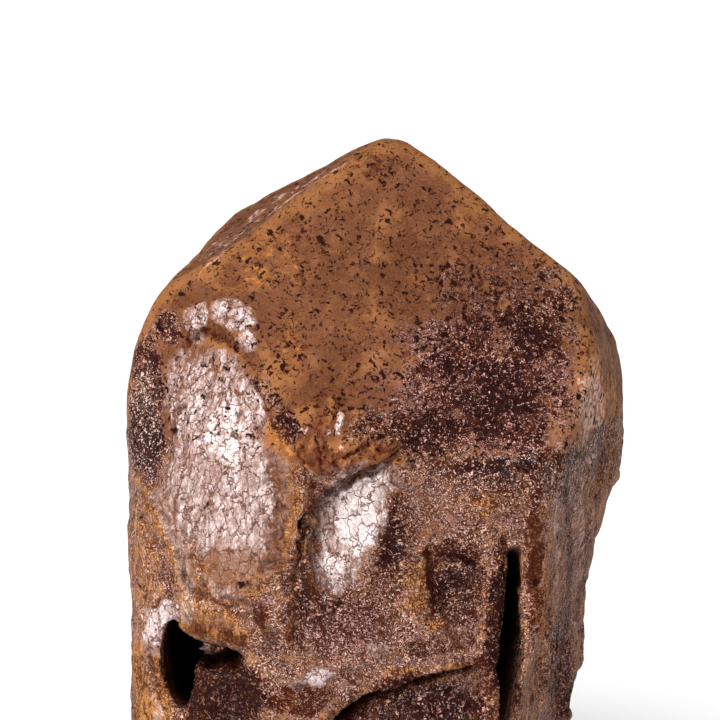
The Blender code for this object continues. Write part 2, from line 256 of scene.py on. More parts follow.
@dataclass(frozen=True)
class Block:
    """The carved block that the crystal's skin is drawn over.

    Its sizes are in metres.  Points on it are in shares of half its width, half its depth and its height.
    """

    width: float = 0.0500
    depth: float = 0.0400
    height: float = 0.0750
    edge_rounding: float = 0.0011
    edge_segments: int = 2
    shortest_edge: float = 0.0002
    foot_spare: float = 0.0030
    skin_voxel: float = 0.00027
    hollow_rounds: int = 3

    def placed(self, shares: Sequence[float]) -> Vector:
        """The point, or the size, at those shares."""
        across, along, up = shares
        return Vector((across * self.width / 2, along * self.depth / 2, up * self.height))

    def object_of(self, name: str, make: Callable[[bmesh.types.BMesh], None]) -> bpy.types.Object:
        """A triangulated mesh object in the scene.

        Args:
            name: the object's name.
            make: builds the mesh in the bmesh that it is given.

        Returns:
            The object.
        """
        bm = bmesh.new()
        make(bm)
        bmesh.ops.triangulate(bm, faces=bm.faces)
        bmesh.ops.recalc_face_normals(bm, faces=bm.faces)
        mesh = bpy.data.meshes.new(name)
        bm.to_mesh(mesh)
        bm.free()
        made = bpy.data.objects.new(name, mesh)
        bpy.context.scene.collection.objects.link(made)
        return made

    def cut_block(self, bm: bmesh.types.BMesh) -> None:
        """A cube that each face's plane cuts back, its edges then rounded.

        Args:
            bm: the bmesh that it is made in.
        """
        tall = self.height + self.foot_spare
        middle = Matrix.Translation((0, 0, self.height - tall / 2))
        stretch = Matrix.Diagonal((2 * self.width, 2 * self.depth, tall, 1))
        bmesh.ops.create_cube(bm, size=1.0, matrix=middle @ stretch)
        for face in FACES:
            cut = bmesh.ops.bisect_plane(
                bm,
                geom=bm.verts[:] + bm.edges[:] + bm.faces[:],
                plane_co=self.placed(face.point),
                plane_no=direction(face.azimuth, face.elevation),
                clear_outer=True,
            )
            rim = [e for e in cut["geom_cut"] if isinstance(e, bmesh.types.BMEdge)]
            bmesh.ops.edgeloop_fill(bm, edges=rim)
        bmesh.ops.dissolve_degenerate(bm, edges=bm.edges, dist=self.shortest_edge)
        bmesh.ops.bevel(
            bm,
            geom=bm.edges[:],
            offset=self.edge_rounding,
            segments=self.edge_segments,
            affect="EDGES",
            profile=0.5,
        )

    def slot_mesh(self, bm: bmesh.types.BMesh, slot: Slot) -> None:
        """The slot's outline, extruded inwards and narrowed.

        Args:
            bm: the bmesh that it is made in.
            slot: the slot.
        """
        place = self.placed(slot.place)
        outwards = direction(slot.azimuth, slot.lean)
        rightwards = direction(slot.azimuth + 90)
        upwards = outwards.cross(rightwards)
        corners = []
        for across, up in slot.outline:
            corner = place + rightwards * (across * self.width / 2) + upwards * (up * self.height)
            corners.append(bm.verts.new(corner + outwards * (slot.out * self.depth / 2)))
        outer = bm.faces.new(corners)
        made = bmesh.ops.extrude_face_region(bm, geom=[outer])["geom"]
        inner = [v for v in made if isinstance(v, bmesh.types.BMVert)]
        middle = sum((v.co for v in inner), Vector()) / len(inner)
        inwards = outwards * ((slot.into - slot.out) * self.depth / 2)
        for vert in inner:
            vert.co = middle + (vert.co - middle) * slot.taper + inwards

    def hollow_mesh(self, bm: bmesh.types.BMesh, hollow: Hollow) -> None:
        """The hollow's ellipsoid.

        Args:
            bm: the bmesh that it is made in.
            hollow: the hollow.
        """
        turn = Matrix.Rotation(math.radians(hollow.azimuth), 4, "Z")
        place = Matrix.Translation(self.placed(hollow.middle)) @ turn
        stretch = Matrix.Diagonal((*self.placed(hollow.radii), 1))
        bmesh.ops.create_icosphere(bm, subdivisions=self.hollow_rounds, radius=1.0, matrix=place @ stretch)

    def carved(self) -> bpy.types.Mesh:
        """The block with its slots and hollows taken out.

        Returns:
            One fine even mesh.
        """
        block = self.object_of("block", self.cut_block)
        makers = [partial(self.slot_mesh, slot=slot) for slot in SLOTS]
        makers += [partial(self.hollow_mesh, hollow=hollow) for hollow in HOLLOWS]
        cutters = [self.object_of("cutter", maker) for maker in makers]
        for cutter in cutters:
            taken = block.modifiers.new(cutter.name, "BOOLEAN")
            taken.operation = "DIFFERENCE"
            taken.solver = "EXACT"
            taken.object = cutter
        skin = block.modifiers.new("skin", "REMESH")
        skin.mode = "VOXEL"
        skin.voxel_size = self.skin_voxel
        graph = bpy.context.evaluated_depsgraph_get()
        mesh = bpy.data.meshes.new_from_object(block.evaluated_get(graph))
        for made in (block, *cutters):
            bpy.data.objects.remove(made)
        return mesh

    def depth_inside(self, points: Array) -> Array:
        """How far each point lies inside the block's faces and above its foot, in millimetres.

        Args:
            points: positions in millimetres, one row each.

        Returns:
            The depth of each point: near 0 on the natural faces, and more in the cracks and hollows.
        """
        depth = np.maximum(points[:, 2], 0.0)
        for face in FACES:
            normal = np.array(direction(face.azimuth, face.elevation))
            on_face = np.array(self.placed(face.point)) / MM
            depth = np.minimum(depth, (on_face - points) @ normal)
        return depth


# ---- Marks: where the crystal's features lie, seen from the front ----
@dataclass(frozen=True)
class FrontView:
    """The view that the front's features are laid out in.

    A mark's place is (across, up) from the middle of this view, in millimetres at the distance of its aim.
    """

    aim: Triple = (-1.805, -5.635, 53.9)
    elevation: float = 12.0
    distance: float = 450.0

    @property
    def backwards(self) -> Vector:
        """The unit vector from the aim to the eye."""
        return direction(0.0, self.elevation)

    @property
    def eye(self) -> Vector:
        """Where the view is seen from, in millimetres."""
        return Vector(self.aim) + self.backwards * self.distance

    def across_and_up(self, points: Array) -> tuple[Array, Array]:
        """Where points show in the view.

        Args:
            points: positions in millimetres, one row each.

        Returns:
            How far across and how far up each point shows, in millimetres.
        """
        rightwards = Vector((1.0, 0.0, 0.0))
        upwards = self.backwards.cross(rightwards)
        rays = points - np.array(self.eye)
        away = -(rays @ np.array(self.backwards))
        return (
            rays @ np.array(rightwards) / away * self.distance,
            rays @ np.array(upwards) / away * self.distance,
        )


@dataclass(frozen=True)
class Spot:
    """An oval mark: its middle and half sizes in the view, its turn in degrees and how soft its edge is."""

    across: float
    up: float
    half_width: float
    half_height: float
    amount: float = 1.0
    soft: float = 0.5
    turn: float = 0.0

    def cover(self, across: Array, up: Array) -> Array:
        """How much the mark covers places in the view.

        Args:
            across: how far across the places lie, in millimetres.
            up: how far up they lie.

        Returns:
            From 0 to the mark's amount for each place.
        """
        a = math.radians(self.turn)
        x = across - self.across
        y = up - self.up
        along = (x * math.cos(a) + y * math.sin(a)) / self.half_width
        over = (y * math.cos(a) - x * math.sin(a)) / self.half_height
        return self.amount * smooth_step(1.0, 1.0 - self.soft, np.hypot(along, over))


@dataclass(frozen=True)
class Stroke:
    """A line mark through points in the view, with a half width and a soft edge."""

    points: tuple[Pair, ...]
    half_width: float
    amount: float = 1.0
    soft: float = 0.7

    def cover(self, across: Array, up: Array) -> Array:
        """How much the mark covers places in the view.

        Args:
            across: how far across the places lie, in millimetres.
            up: how far up they lie.

        Returns:
            From 0 to the mark's amount for each place.
        """
        nearest = np.full(len(across), np.inf)
        for (x0, y0), (x1, y1) in zip(self.points, self.points[1:]):
            dx, dy = x1 - x0, y1 - y0
            share = np.clip(((across - x0) * dx + (up - y0) * dy) / (dx * dx + dy * dy), 0.0, 1.0)
            nearest = np.minimum(nearest, np.hypot(across - x0 - share * dx, up - y0 - share * dy))
        return self.amount * smooth_step(1.0, 1.0 - self.soft, nearest / self.half_width)


Mark = Spot | Stroke


class Layer(Enum):
    """What a mark lays on the stone.  The value is the name of the mesh attribute that holds it."""

    GLOSS = "gloss"
    SPECKS = "specks"
    RUST = "rust"
    TAN = "tan"
    # pale stone, and painted highlights on the glossy skin, the roof's left edge and along the crack
    PALE_AND_HIGHLIGHT = "pale"
    PLUM = "plum"
    # painted shade in the cavity's mouth, under the brow, on the step, by the cleft and under the crack, and
    # darker patches elsewhere
    DARK = "dark"


FOLD_LINE: tuple[Pair, ...] = (
    (-3.8, -8.1), (-3.9, -11.2), (-4.9, -12.0), (-5.2, -16.0), (-5.8, -18.5), (-6.6, -20.2), (-6.8, -24.0),
    (-7.1, -28.0),
)
BROW_LINE: tuple[Pair, ...] = ((-6.0, -9.0), (-4.0, -11.5), (-1.5, -11.4), (0.0, -9.8), (3.2, -8.7))
BROW_LIP: tuple[Pair, ...] = (
    (-6.0, -9.0), (-4.6, -11.6), (-2.4, -12.0), (-0.6, -10.2), (1.4, -9.4), (3.8, -8.0),
)
BROW_CRACK: tuple[Pair, ...] = ((-1.2, -9.6), (0.8, -8.6), (2.6, -7.4))
CAP_LINE: tuple[Pair, ...] = ((-17.5, 1.5), (-15.5, 3.0), (-13.5, 2.2), (-11.5, 0.8), (-10.5, -0.5))
CRACK_LINE: tuple[Pair, ...] = ((12.0, -30.2), (7.8, -31.6), (3.5, -32.8), (0.2, -34.2), (-3.0, -35.9))
CHIP_LINE: tuple[Pair, ...] = ((-15.8, -28.7), (-14.6, -28.9), (-13.6, -28.8))
LOBE_CRACKS: tuple[tuple[Pair, ...], ...] = (
    ((-14.7, 0.4), (-14.9, -3.3), (-15.2, -5.0)),
    ((-13.5, 0.0), (-12.6, -2.6), (-12.0, -5.0)),
    ((-10.4, -2.0), (-9.2, -4.7), (-8.6, -7.0)),
)

# what clears the cavity's painted shade from the chip in its mouth, and the painted shadow that blackens the
# gap under the chip
CHIP = Stroke(((-15.8, -28.6), (-14.6, -28.8), (-13.6, -28.7)), 0.50, 1.0, 0.5)
GAP = Stroke(((-16.6, -29.9), (-14.6, -30.0), (-12.4, -29.5)), 0.75, 1.0, 0.5)

# a spot's numbers: across, up, half width, half height, amount, softness, turn
# a stroke's numbers: its points (across, up), half width, amount, softness
LAYERS: dict[Layer, tuple[Mark, ...]] = {
    Layer.GLOSS: (
        # the left lobe, and the lip under it
        Spot(-16.6, -4.5, 3.6, 6.8, 1.1, 0.50, 10.0),
        Spot(-13.0, -6.5, 4.6, 7.2, 1.1, 0.45, 4.0),
        Spot(-14.6, -0.6, 3.6, 2.4, 0.9, 0.60),
        Spot(-14.0, -12.4, 6.5, 7.6, 1.1, 0.35),
        Spot(-9.8, -13.5, 4.0, 7.0, 0.95, 0.45),
        Spot(-11.6, -18.4, 5.8, 5.2, 0.90, 0.50),
        Spot(-12.8, -22.0, 4.4, 3.2, 0.70, 0.70),
        Stroke(((-20.6, -13.5), (-18.2, -17.5), (-17.0, -22.5)), 1.1, 0.70, 0.70),
        Spot(-14.8, -26.2, 3.4, 1.2, 0.50, 0.60, -8.0),
        # the flakes of its cap
        Spot(-16.4, 4.3, 1.6, 1.8, 1.0, 0.35, -30.0),
        Spot(-12.7, 4.5, 2.7, 1.8, 1.0, 0.30, -20.0),
        Spot(-11.2, 1.7, 1.2, 1.5, 0.9, 0.40, 20.0),
        Spot(-16.2, 2.2, 1.0, 1.2, 0.8, 0.50),
        # the oval facet
        Spot(-0.8, -15.6, 4.2, 6.6, 1.15, 0.45, -14.0),
        Spot(-2.4, -21.0, 3.6, 3.4, 0.9, 0.70),
        Spot(2.6, -12.0, 2.6, 2.2, 0.7, 0.70),
        Spot(2.4, -11.5, 2.2, 1.6, 0.7, 0.60),
        # flakes on the brow and along the crack, and the rim of the cavity
        Spot(-2.0, -6.4, 0.5, 1.3, 1.0, 0.50),
        Spot(-4.2, -31.7, 2.6, 1.3, 1.1, 0.60, 15.0),
        Spot(-6.0, -32.5, 2.0, 0.9, 0.7, 0.70),
        Spot(1.5, -29.0, 3.0, 1.6, 0.5, 0.90, 20.0),
        Stroke(((-21.0, -28.4), (-20.2, -26.2), (-19.0, -25.0)), 1.3, 1.10, 0.40),
    ),
    Layer.SPECKS: (
        # the roof, most crowded on its lower right
        Spot(2.0, 6.0, 22.0, 18.0, 0.20, 0.30),
        Spot(15.0, 3.0, 22.0, 19.0, 0.55, 1.00),
        Spot(13.0, -3.0, 18.0, 13.0, 1.05, 1.00, -20.0),
        Spot(17.5, 2.0, 9.0, 8.5, 0.95, 1.00),
        Spot(20.0, 7.0, 6.5, 7.0, 0.62, 1.00),
        Spot(8.0, 1.0, 13.0, 10.0, 0.60, 1.00),
        Spot(7.0, -7.0, 11.0, 5.0, 1.00, 0.90),
        Spot(1.5, -6.5, 7.0, 4.5, 0.75, 1.00),
        Spot(15.0, -7.0, 9.0, 5.0, 0.90, 0.80),
        # round the left lobe
        Spot(-21.3, -4.0, 2.6, 9.5, 0.85, 0.50),
        Spot(-19.3, 3.4, 2.8, 2.8, 0.75, 0.70),
        Spot(-7.4, -6.8, 2.2, 2.2, 0.90, 0.60),
        Stroke(((-9.8, -1.0), (-8.6, -4.0), (-6.5, -7.5)), 1.0, 0.60, 0.7),
        Spot(-10.5, -2.5, 1.5, 1.6, 0.75, 0.60),
        # the prism, the core and the cavity's floor
        Spot(3.4, -18.5, 2.6, 7.0, 0.50, 0.90),
        Spot(-1.0, -25.5, 9.0, 5.5, 0.22, 0.90),
        Spot(-5.8, -24.0, 2.6, 7.0, 0.35, 0.90),
        Spot(9.5, -22.5, 3.6, 5.5, 0.45, 0.90),
        Spot(14.2, -26.0, 2.6, 10.0, 0.55, 0.90),
        Spot(6.0, -34.5, 9.5, 3.4, 0.42, 0.60),
        Spot(20.0, -30.0, 2.2, 8.0, 0.40, 0.80),
        Spot(-13.6, -33.8, 5.4, 4.6, 0.50, 0.40),
    ),
    Layer.RUST: (
        # the fold, painted rust-red partly as the shade in its valley, the brow and the edge of the cap
        Stroke(FOLD_LINE, 0.9, 0.78, 0.8),
        Stroke(BROW_LINE, 1.1, 0.8, 0.9),
        Spot(-2.0, -9.6, 2.6, 1.4, 0.60, 0.80, 10.0),
        Spot(-3.4, -9.4, 3.0, 2.6, 0.50, 0.70),
        Stroke(((-5.0, -10.5), (-4.2, -8.0), (-3.6, -6.0)), 1.1, 0.9, 0.9),
        Stroke(CAP_LINE, 0.7, 0.65, 0.8),
        # the lobe's right edge, its foot and its pits
        Stroke(((-9.2, -9.5), (-8.0, -13.0), (-8.0, -17.0), (-9.4, -20.5)), 1.8, 0.60, 0.8),
        Spot(-9.0, -19.5, 2.5, 2.0, 0.5, 0.80),
        Stroke(((-16.0, -23.6), (-13.0, -24.2), (-10.4, -24.6), (-9.4, -27.4)), 1.0, 0.75, 0.9),
        Spot(-12.0, -24.0, 4.0, 1.8, 0.46, 0.90),
        Spot(-12.6, -7.4, 0.7, 1.1, 0.9, 0.60),
        Spot(-17.8, -4.6, 1.3, 0.6, 0.8, 0.60),
        # fine stained cracks in the glossy skin
        Stroke(LOBE_CRACKS[0], 0.28, 0.9, 0.8),
        Stroke(LOBE_CRACKS[1], 0.26, 0.9, 0.8),
        Stroke(LOBE_CRACKS[2], 0.30, 0.9, 0.8),
        Stroke(((-18.2, -1.0), (-18.4, -4.5), (-18.9, -9.0)), 0.30, 0.7, 0.8),
        Stroke(((-16.2, -21.8), (-15.6, -23.6), (-13.0, -24.6)), 0.50, 0.8, 0.8),
        Stroke(((-12.0, -25.6), (-9.8, -26.4), (-9.0, -28.0)), 0.90, 0.8, 0.8),
        # the cavity's lip, the wall behind it, its floor and its left rim
        Stroke(((-18.0, -26.6), (-15.0, -27.2), (-11.8, -28.0)), 1.2, 0.66, 0.7),
        Stroke(((-16.6, -28.0), (-13.6, -28.4)), 0.55, 0.8, 0.7),
        Spot(-13.8, -33.6, 5.4, 4.4, 0.74, 0.40),
        Spot(-20.8, -31.0, 2.0, 6.0, 0.45, 0.70),
        Stroke(((-20.9, -29.6), (-20.3, -33.0), (-19.4, -36.0)), 0.35, 0.8, 0.9),
        Stroke(((-21.8, -31.0), (-21.4, -36.0)), 0.30, 0.7, 0.9),
        # the step, its upper and left walls rust-red as painted shade, both sides of the cleft, the crack and
        # the core under it
        Spot(9.4, -21.5, 2.4, 3.2, 0.56, 0.90),
        Stroke(((6.8, -19.2), (7.3, -24.5)), 0.7, 0.8, 0.8),
        Stroke(((6.9, -19.3), (11.0, -19.8)), 0.6, 0.7, 0.8),
        Stroke(((14.5, -17.5), (15.0, -20.0)), 0.7, 0.8, 0.8),
        Stroke(((17.3, -16.5), (17.8, -19.5), (17.2, -23.0)), 1.3, 1.0, 0.8),
        Stroke(CRACK_LINE, 1.4, 0.6, 0.9),
        Spot(5.0, -35.0, 8.0, 2.4, 0.56, 0.80, 18.0),
        # a pit at the roof's right corner
        Spot(22.3, 0.8, 0.9, 0.9, 0.7, 0.60),
    ),
    Layer.TAN: (
        # the prism's left edge, and the lobe's lower left
        Spot(-21.6, -19.5, 1.9, 9.5, 0.50, 0.60),
        Stroke(((-21.0, -13.5), (-18.5, -18.5), (-17.0, -23.0), (-17.5, -25.5)), 1.7, 0.80, 0.70),
        # the lobe's right edge, its foot and its top
        Stroke(((-9.0, -7.5), (-7.4, -12.0), (-7.4, -16.0), (-8.8, -20.0), (-11.0, -22.5)), 2.4, 1.10, 0.9),
        Spot(-13.0, -20.5, 5.6, 4.2, 1.00, 0.90),
        Spot(-11.5, -22.5, 3.8, 2.2, 0.55, 0.70),
        Spot(-14.5, -0.6, 1.2, 1.6, 0.60, 0.80),
        # the cavity's lip and its left rim, and the core right of it
        Spot(-14.5, -26.0, 3.8, 1.4, 0.80, 0.60),
        Stroke(((-18.0, -26.4), (-15.0, -27.0), (-11.8, -27.8)), 1.3, 1.10, 0.6),
        Stroke(((-21.4, -29.6), (-20.8, -33.0), (-20.6, -36.0)), 2.2, 1.20, 0.5),
        Spot(-21.3, -33.0, 1.5, 4.0, 0.95, 0.50),
        Spot(-7.0, -34.0, 3.0, 2.2, 0.50, 0.70),
        # between the oval facet and the cleft, and over the crack
        Spot(5.5, -23.0, 2.4, 5.0, 0.55, 0.70),
        Spot(7.5, -26.5, 1.2, 1.2, 0.70, 0.70),
        Spot(12.0, -14.5, 6.0, 3.0, 0.45, 0.80),
        Spot(3.5, -31.3, 5.5, 1.0, 0.50, 0.70, 12.0),
        # right of the cleft, and the right edge
        Spot(18.3, -23.5, 1.8, 6.0, 0.60, 0.70),
        Spot(18.4, -29.0, 0.8, 5.0, 0.85, 0.50),
        Spot(24.0, -8.0, 4.0, 14.0, 0.55, 0.60),
        # the roof's left half
        Spot(-9.0, 9.5, 8.5, 6.0, 0.50, 1.00, 35.0),
        Spot(-7.0, 0.5, 4.0, 8.0, 0.42, 1.00),
    ),
    Layer.PALE_AND_HIGHLIGHT: (
        # the oval facet, with a painted highlight on its glossy skin
        Spot(0.2, -15.5, 3.4, 5.4, 1.00, 0.60, -14.0),
        Spot(-2.6, -20.5, 2.4, 2.6, 0.70, 0.80),
        Spot(2.2, -11.6, 1.8, 1.2, 0.55, 0.80),
        # the lobe's bright middle and upper part, painted highlights, and its pale left edge down to its foot
        Spot(-13.5, -7.5, 3.2, 5.5, 0.75, 0.80),
        Spot(-10.0, -3.5, 1.2, 2.6, 0.50, 0.80, 20.0),
        Spot(-17.0, -3.5, 2.6, 5.0, 0.50, 0.80, 12.0),
        Spot(-21.4, -6.0, 2.2, 9.0, 0.78, 0.60),
        Stroke(((-20.6, -13.5), (-18.4, -18.0), (-17.3, -22.5), (-17.4, -25.5)), 1.0, 0.95, 0.70),
        Spot(-17.6, -22.0, 1.0, 3.0, 0.60, 0.60, 20.0),
        # the cavity's left rim, and the chip in its mouth
        Stroke(((-20.9, -28.6), (-20.4, -26.4), (-19.2, -25.2)), 1.15, 1.10, 0.45),
        Stroke(((-21.4, -25.3), (-18.7, -25.1)), 0.75, 1.10, 0.45),
        Stroke(((-21.2, -30.0), (-20.6, -33.0), (-20.2, -36.0)), 0.8, 0.70, 0.80),
        Stroke(CHIP_LINE, 0.40, 1.20, 0.50),
        # the right edge, and the tooth right of the cleft
        Spot(23.0, -4.5, 2.6, 8.0, 0.52, 0.70),
        Spot(23.0, -9.0, 1.2, 2.6, 0.70, 0.70),
        Spot(21.8, -2.0, 0.4, 0.6, 0.90, 0.50),
        Spot(18.9, -11.2, 1.7, 3.2, 0.58, 0.90),
        Stroke(((22.0, -12.0), (22.2, -20.0), (21.4, -28.0)), 0.5, 0.62, 0.90),
        Stroke(((19.6, -14.0), (19.8, -22.0), (19.4, -28.0)), 0.5, 0.60, 0.90),
        Spot(18.5, -29.5, 0.8, 4.2, 0.62, 0.60, -4.0),
        # small flakes on the brow, partly painted highlights, and a painted glint along the crack
        Spot(-4.2, -8.2, 1.2, 1.6, 0.55, 0.80),
        Spot(-2.0, -6.2, 0.6, 1.4, 1.00, 0.50),
        Spot(-1.9, -9.0, 0.5, 0.5, 1.00, 0.50),
        Spot(-3.4, -7.2, 0.35, 0.8, 0.90, 0.60),
        Spot(-4.6, -9.8, 0.4, 0.6, 0.80, 0.60),
        Spot(-0.5, -8.0, 0.6, 0.3, 0.80, 0.60, 25.0),
        Spot(-5.6, -7.0, 0.4, 0.4, 0.80, 0.60),
        Spot(-4.2, -31.7, 2.4, 1.0, 0.90, 0.60, 15.0),
        # a painted highlight along the roof's left edge, with light streaks
        Spot(-14.0, 11.5, 5.0, 1.6, 0.35, 0.80, 35.0),
        Stroke(((-0.6, 20.2), (-6.2, 16.9), (-11.5, 12.8), (-16.0, 8.8)), 0.35, 0.50, 1.00),
        Stroke(((-3.0, 19.0), (-8.4, 16.0), (-14.4, 11.4)), 0.30, 0.50, 1.00),
    ),
    Layer.PLUM: (
        # the roof's lower right, and both sides of the lobe
        Spot(13.0, -3.5, 18.0, 13.0, 0.95, 1.00, -20.0),
        Spot(-21.5, -4.0, 2.4, 9.0, 0.70, 0.60),
        Spot(-7.2, -7.0, 2.4, 2.4, 0.70, 0.70),
        # the prism
        Spot(-2.0, -27.0, 9.0, 5.0, 0.60, 0.70),
        Spot(3.5, -18.5, 2.0, 7.0, 0.60, 0.70),
        Spot(13.5, -26.0, 2.6, 10.0, 0.60, 0.70),
        Spot(21.5, -20.0, 2.6, 9.0, 0.62, 0.80),
        # the core, the strips right of it and the cavity's floor
        Spot(6.0, -34.5, 9.5, 3.2, 0.80, 0.60),
        Spot(12.6, -33.5, 0.9, 3.6, 0.90, 0.50),
        Spot(20.5, -33.0, 1.6, 4.5, 0.80, 0.60),
        Spot(-13.4, -33.5, 5.0, 4.4, 0.95, 0.40),
    ),
    Layer.DARK: (
        # painted shadow in the cavity's mouth, under its lip
        Stroke(((-16.6, -30.2), (-14.4, -30.6), (-12.2, -30.4)), 0.9, 1.0, 0.6),
        # painted shade on the lobe's right edge, where it turns away, and darker along its upper edge and
        # corner
        Spot(-9.8, -25.4, 1.4, 2.2, 0.80, 0.80),
        Spot(-8.0, -17.5, 1.6, 3.6, 0.40, 0.90),
        Stroke(((-17.8, 1.4), (-15.6, 2.9), (-13.3, 2.0), (-11.2, 0.6), (-10.0, -1.2)), 0.9, 0.55, 0.8),
        Spot(-7.4, -6.8, 1.8, 2.0, 0.55, 0.80),
        # the brow's cracks, and painted shadow in the hollow under its lip
        Stroke(((-6.2, -9.2), (-5.0, -11.8)), 0.28, 1.0, 0.7),
        Stroke(((-4.2, -8.0), (-3.9, -11.5)), 0.25, 1.0, 0.7),
        Stroke(((-2.9, -9.0), (-2.2, -11.2)), 0.25, 1.0, 0.7),
        Stroke(BROW_CRACK, 0.28, 1.0, 0.7),
        Stroke(((-5.0, -12.6), (-2.5, -13.0), (-0.7, -11.6), (1.2, -10.8)), 0.7, 0.70, 0.8),
        # the front below it, darker, and painted shade on the step's upper and left walls and inside it
        Stroke(((3.4, -11.5), (3.6, -15.5), (3.0, -19.0), (1.5, -22.0)), 1.2, 0.65, 0.9),
        Spot(-4.0, -24.0, 3.0, 6.0, 0.35, 0.90),
        Stroke(((11.4, -19.6), (8.4, -19.0), (7.1, -19.6), (7.6, -24.5)), 1.6, 0.85, 0.9),
        Spot(9.4, -21.5, 2.8, 3.6, 0.30, 0.90),
        Spot(11.8, -21.0, 1.8, 5.0, 0.45, 0.90),
        Stroke(((5.5, -29.0), (10.5, -28.4)), 1.5, 0.66, 0.9),
        # painted shade on both sides of the cleft, and the darker grooves of the right edge
        Stroke(((14.2, -19.0), (13.9, -22.5), (13.4, -28.0), (13.4, -33.0)), 1.8, 0.80, 0.9),
        Stroke(((16.6, -15.5), (16.6, -18.0), (16.8, -21.0)), 0.8, 0.60, 0.9),
        Stroke(((17.4, -14.0), (17.5, -20.0), (17.6, -27.0)), 1.7, 0.75, 0.9),
        Stroke(((20.4, -13.0), (21.0, -19.0), (20.6, -27.0)), 0.6, 0.72, 0.90),
        Stroke(((22.8, -15.0), (22.4, -21.0), (21.6, -26.0)), 0.5, 0.72, 0.90),
        Stroke(((24.4, -6.0), (24.0, -13.0), (23.0, -20.0)), 0.4, 0.66, 0.90),
        # painted shade under the crack's lip and on the core that stands back below it, and darker strips
        # right of it
        Stroke(((12.2, -29.8), (7.8, -31.0), (3.5, -32.2), (0.2, -33.6)), 1.2, 0.50, 0.9),
        Spot(4.0, -36.0, 12.0, 4.0, 0.34, 0.60, 18.0),
        Spot(-6.0, -34.0, 5.0, 2.2, 1.00, 0.60),
        Stroke(((12.3, -30.2), (12.6, -33.0), (13.2, -36.0)), 1.3, 0.74, 0.80),
        Spot(12.5, -34.0, 1.8, 4.0, 0.60, 0.60),
        Spot(15.4, -34.0, 1.6, 3.0, 0.60, 0.60),
        Spot(20.2, -33.5, 1.8, 4.5, 0.56, 0.60),
        # the roof's right half, its top and its lower edge
        Spot(13.0, 6.0, 14.0, 11.0, 0.58, 1.00, -30.0),
        Spot(1.5, 19.5, 7.0, 4.5, 0.50, 1.00),
        Stroke(((0.5, -9.2), (6.0, -10.4), (14.0, -10.4)), 1.4, 0.35, 0.9),
    ),
}

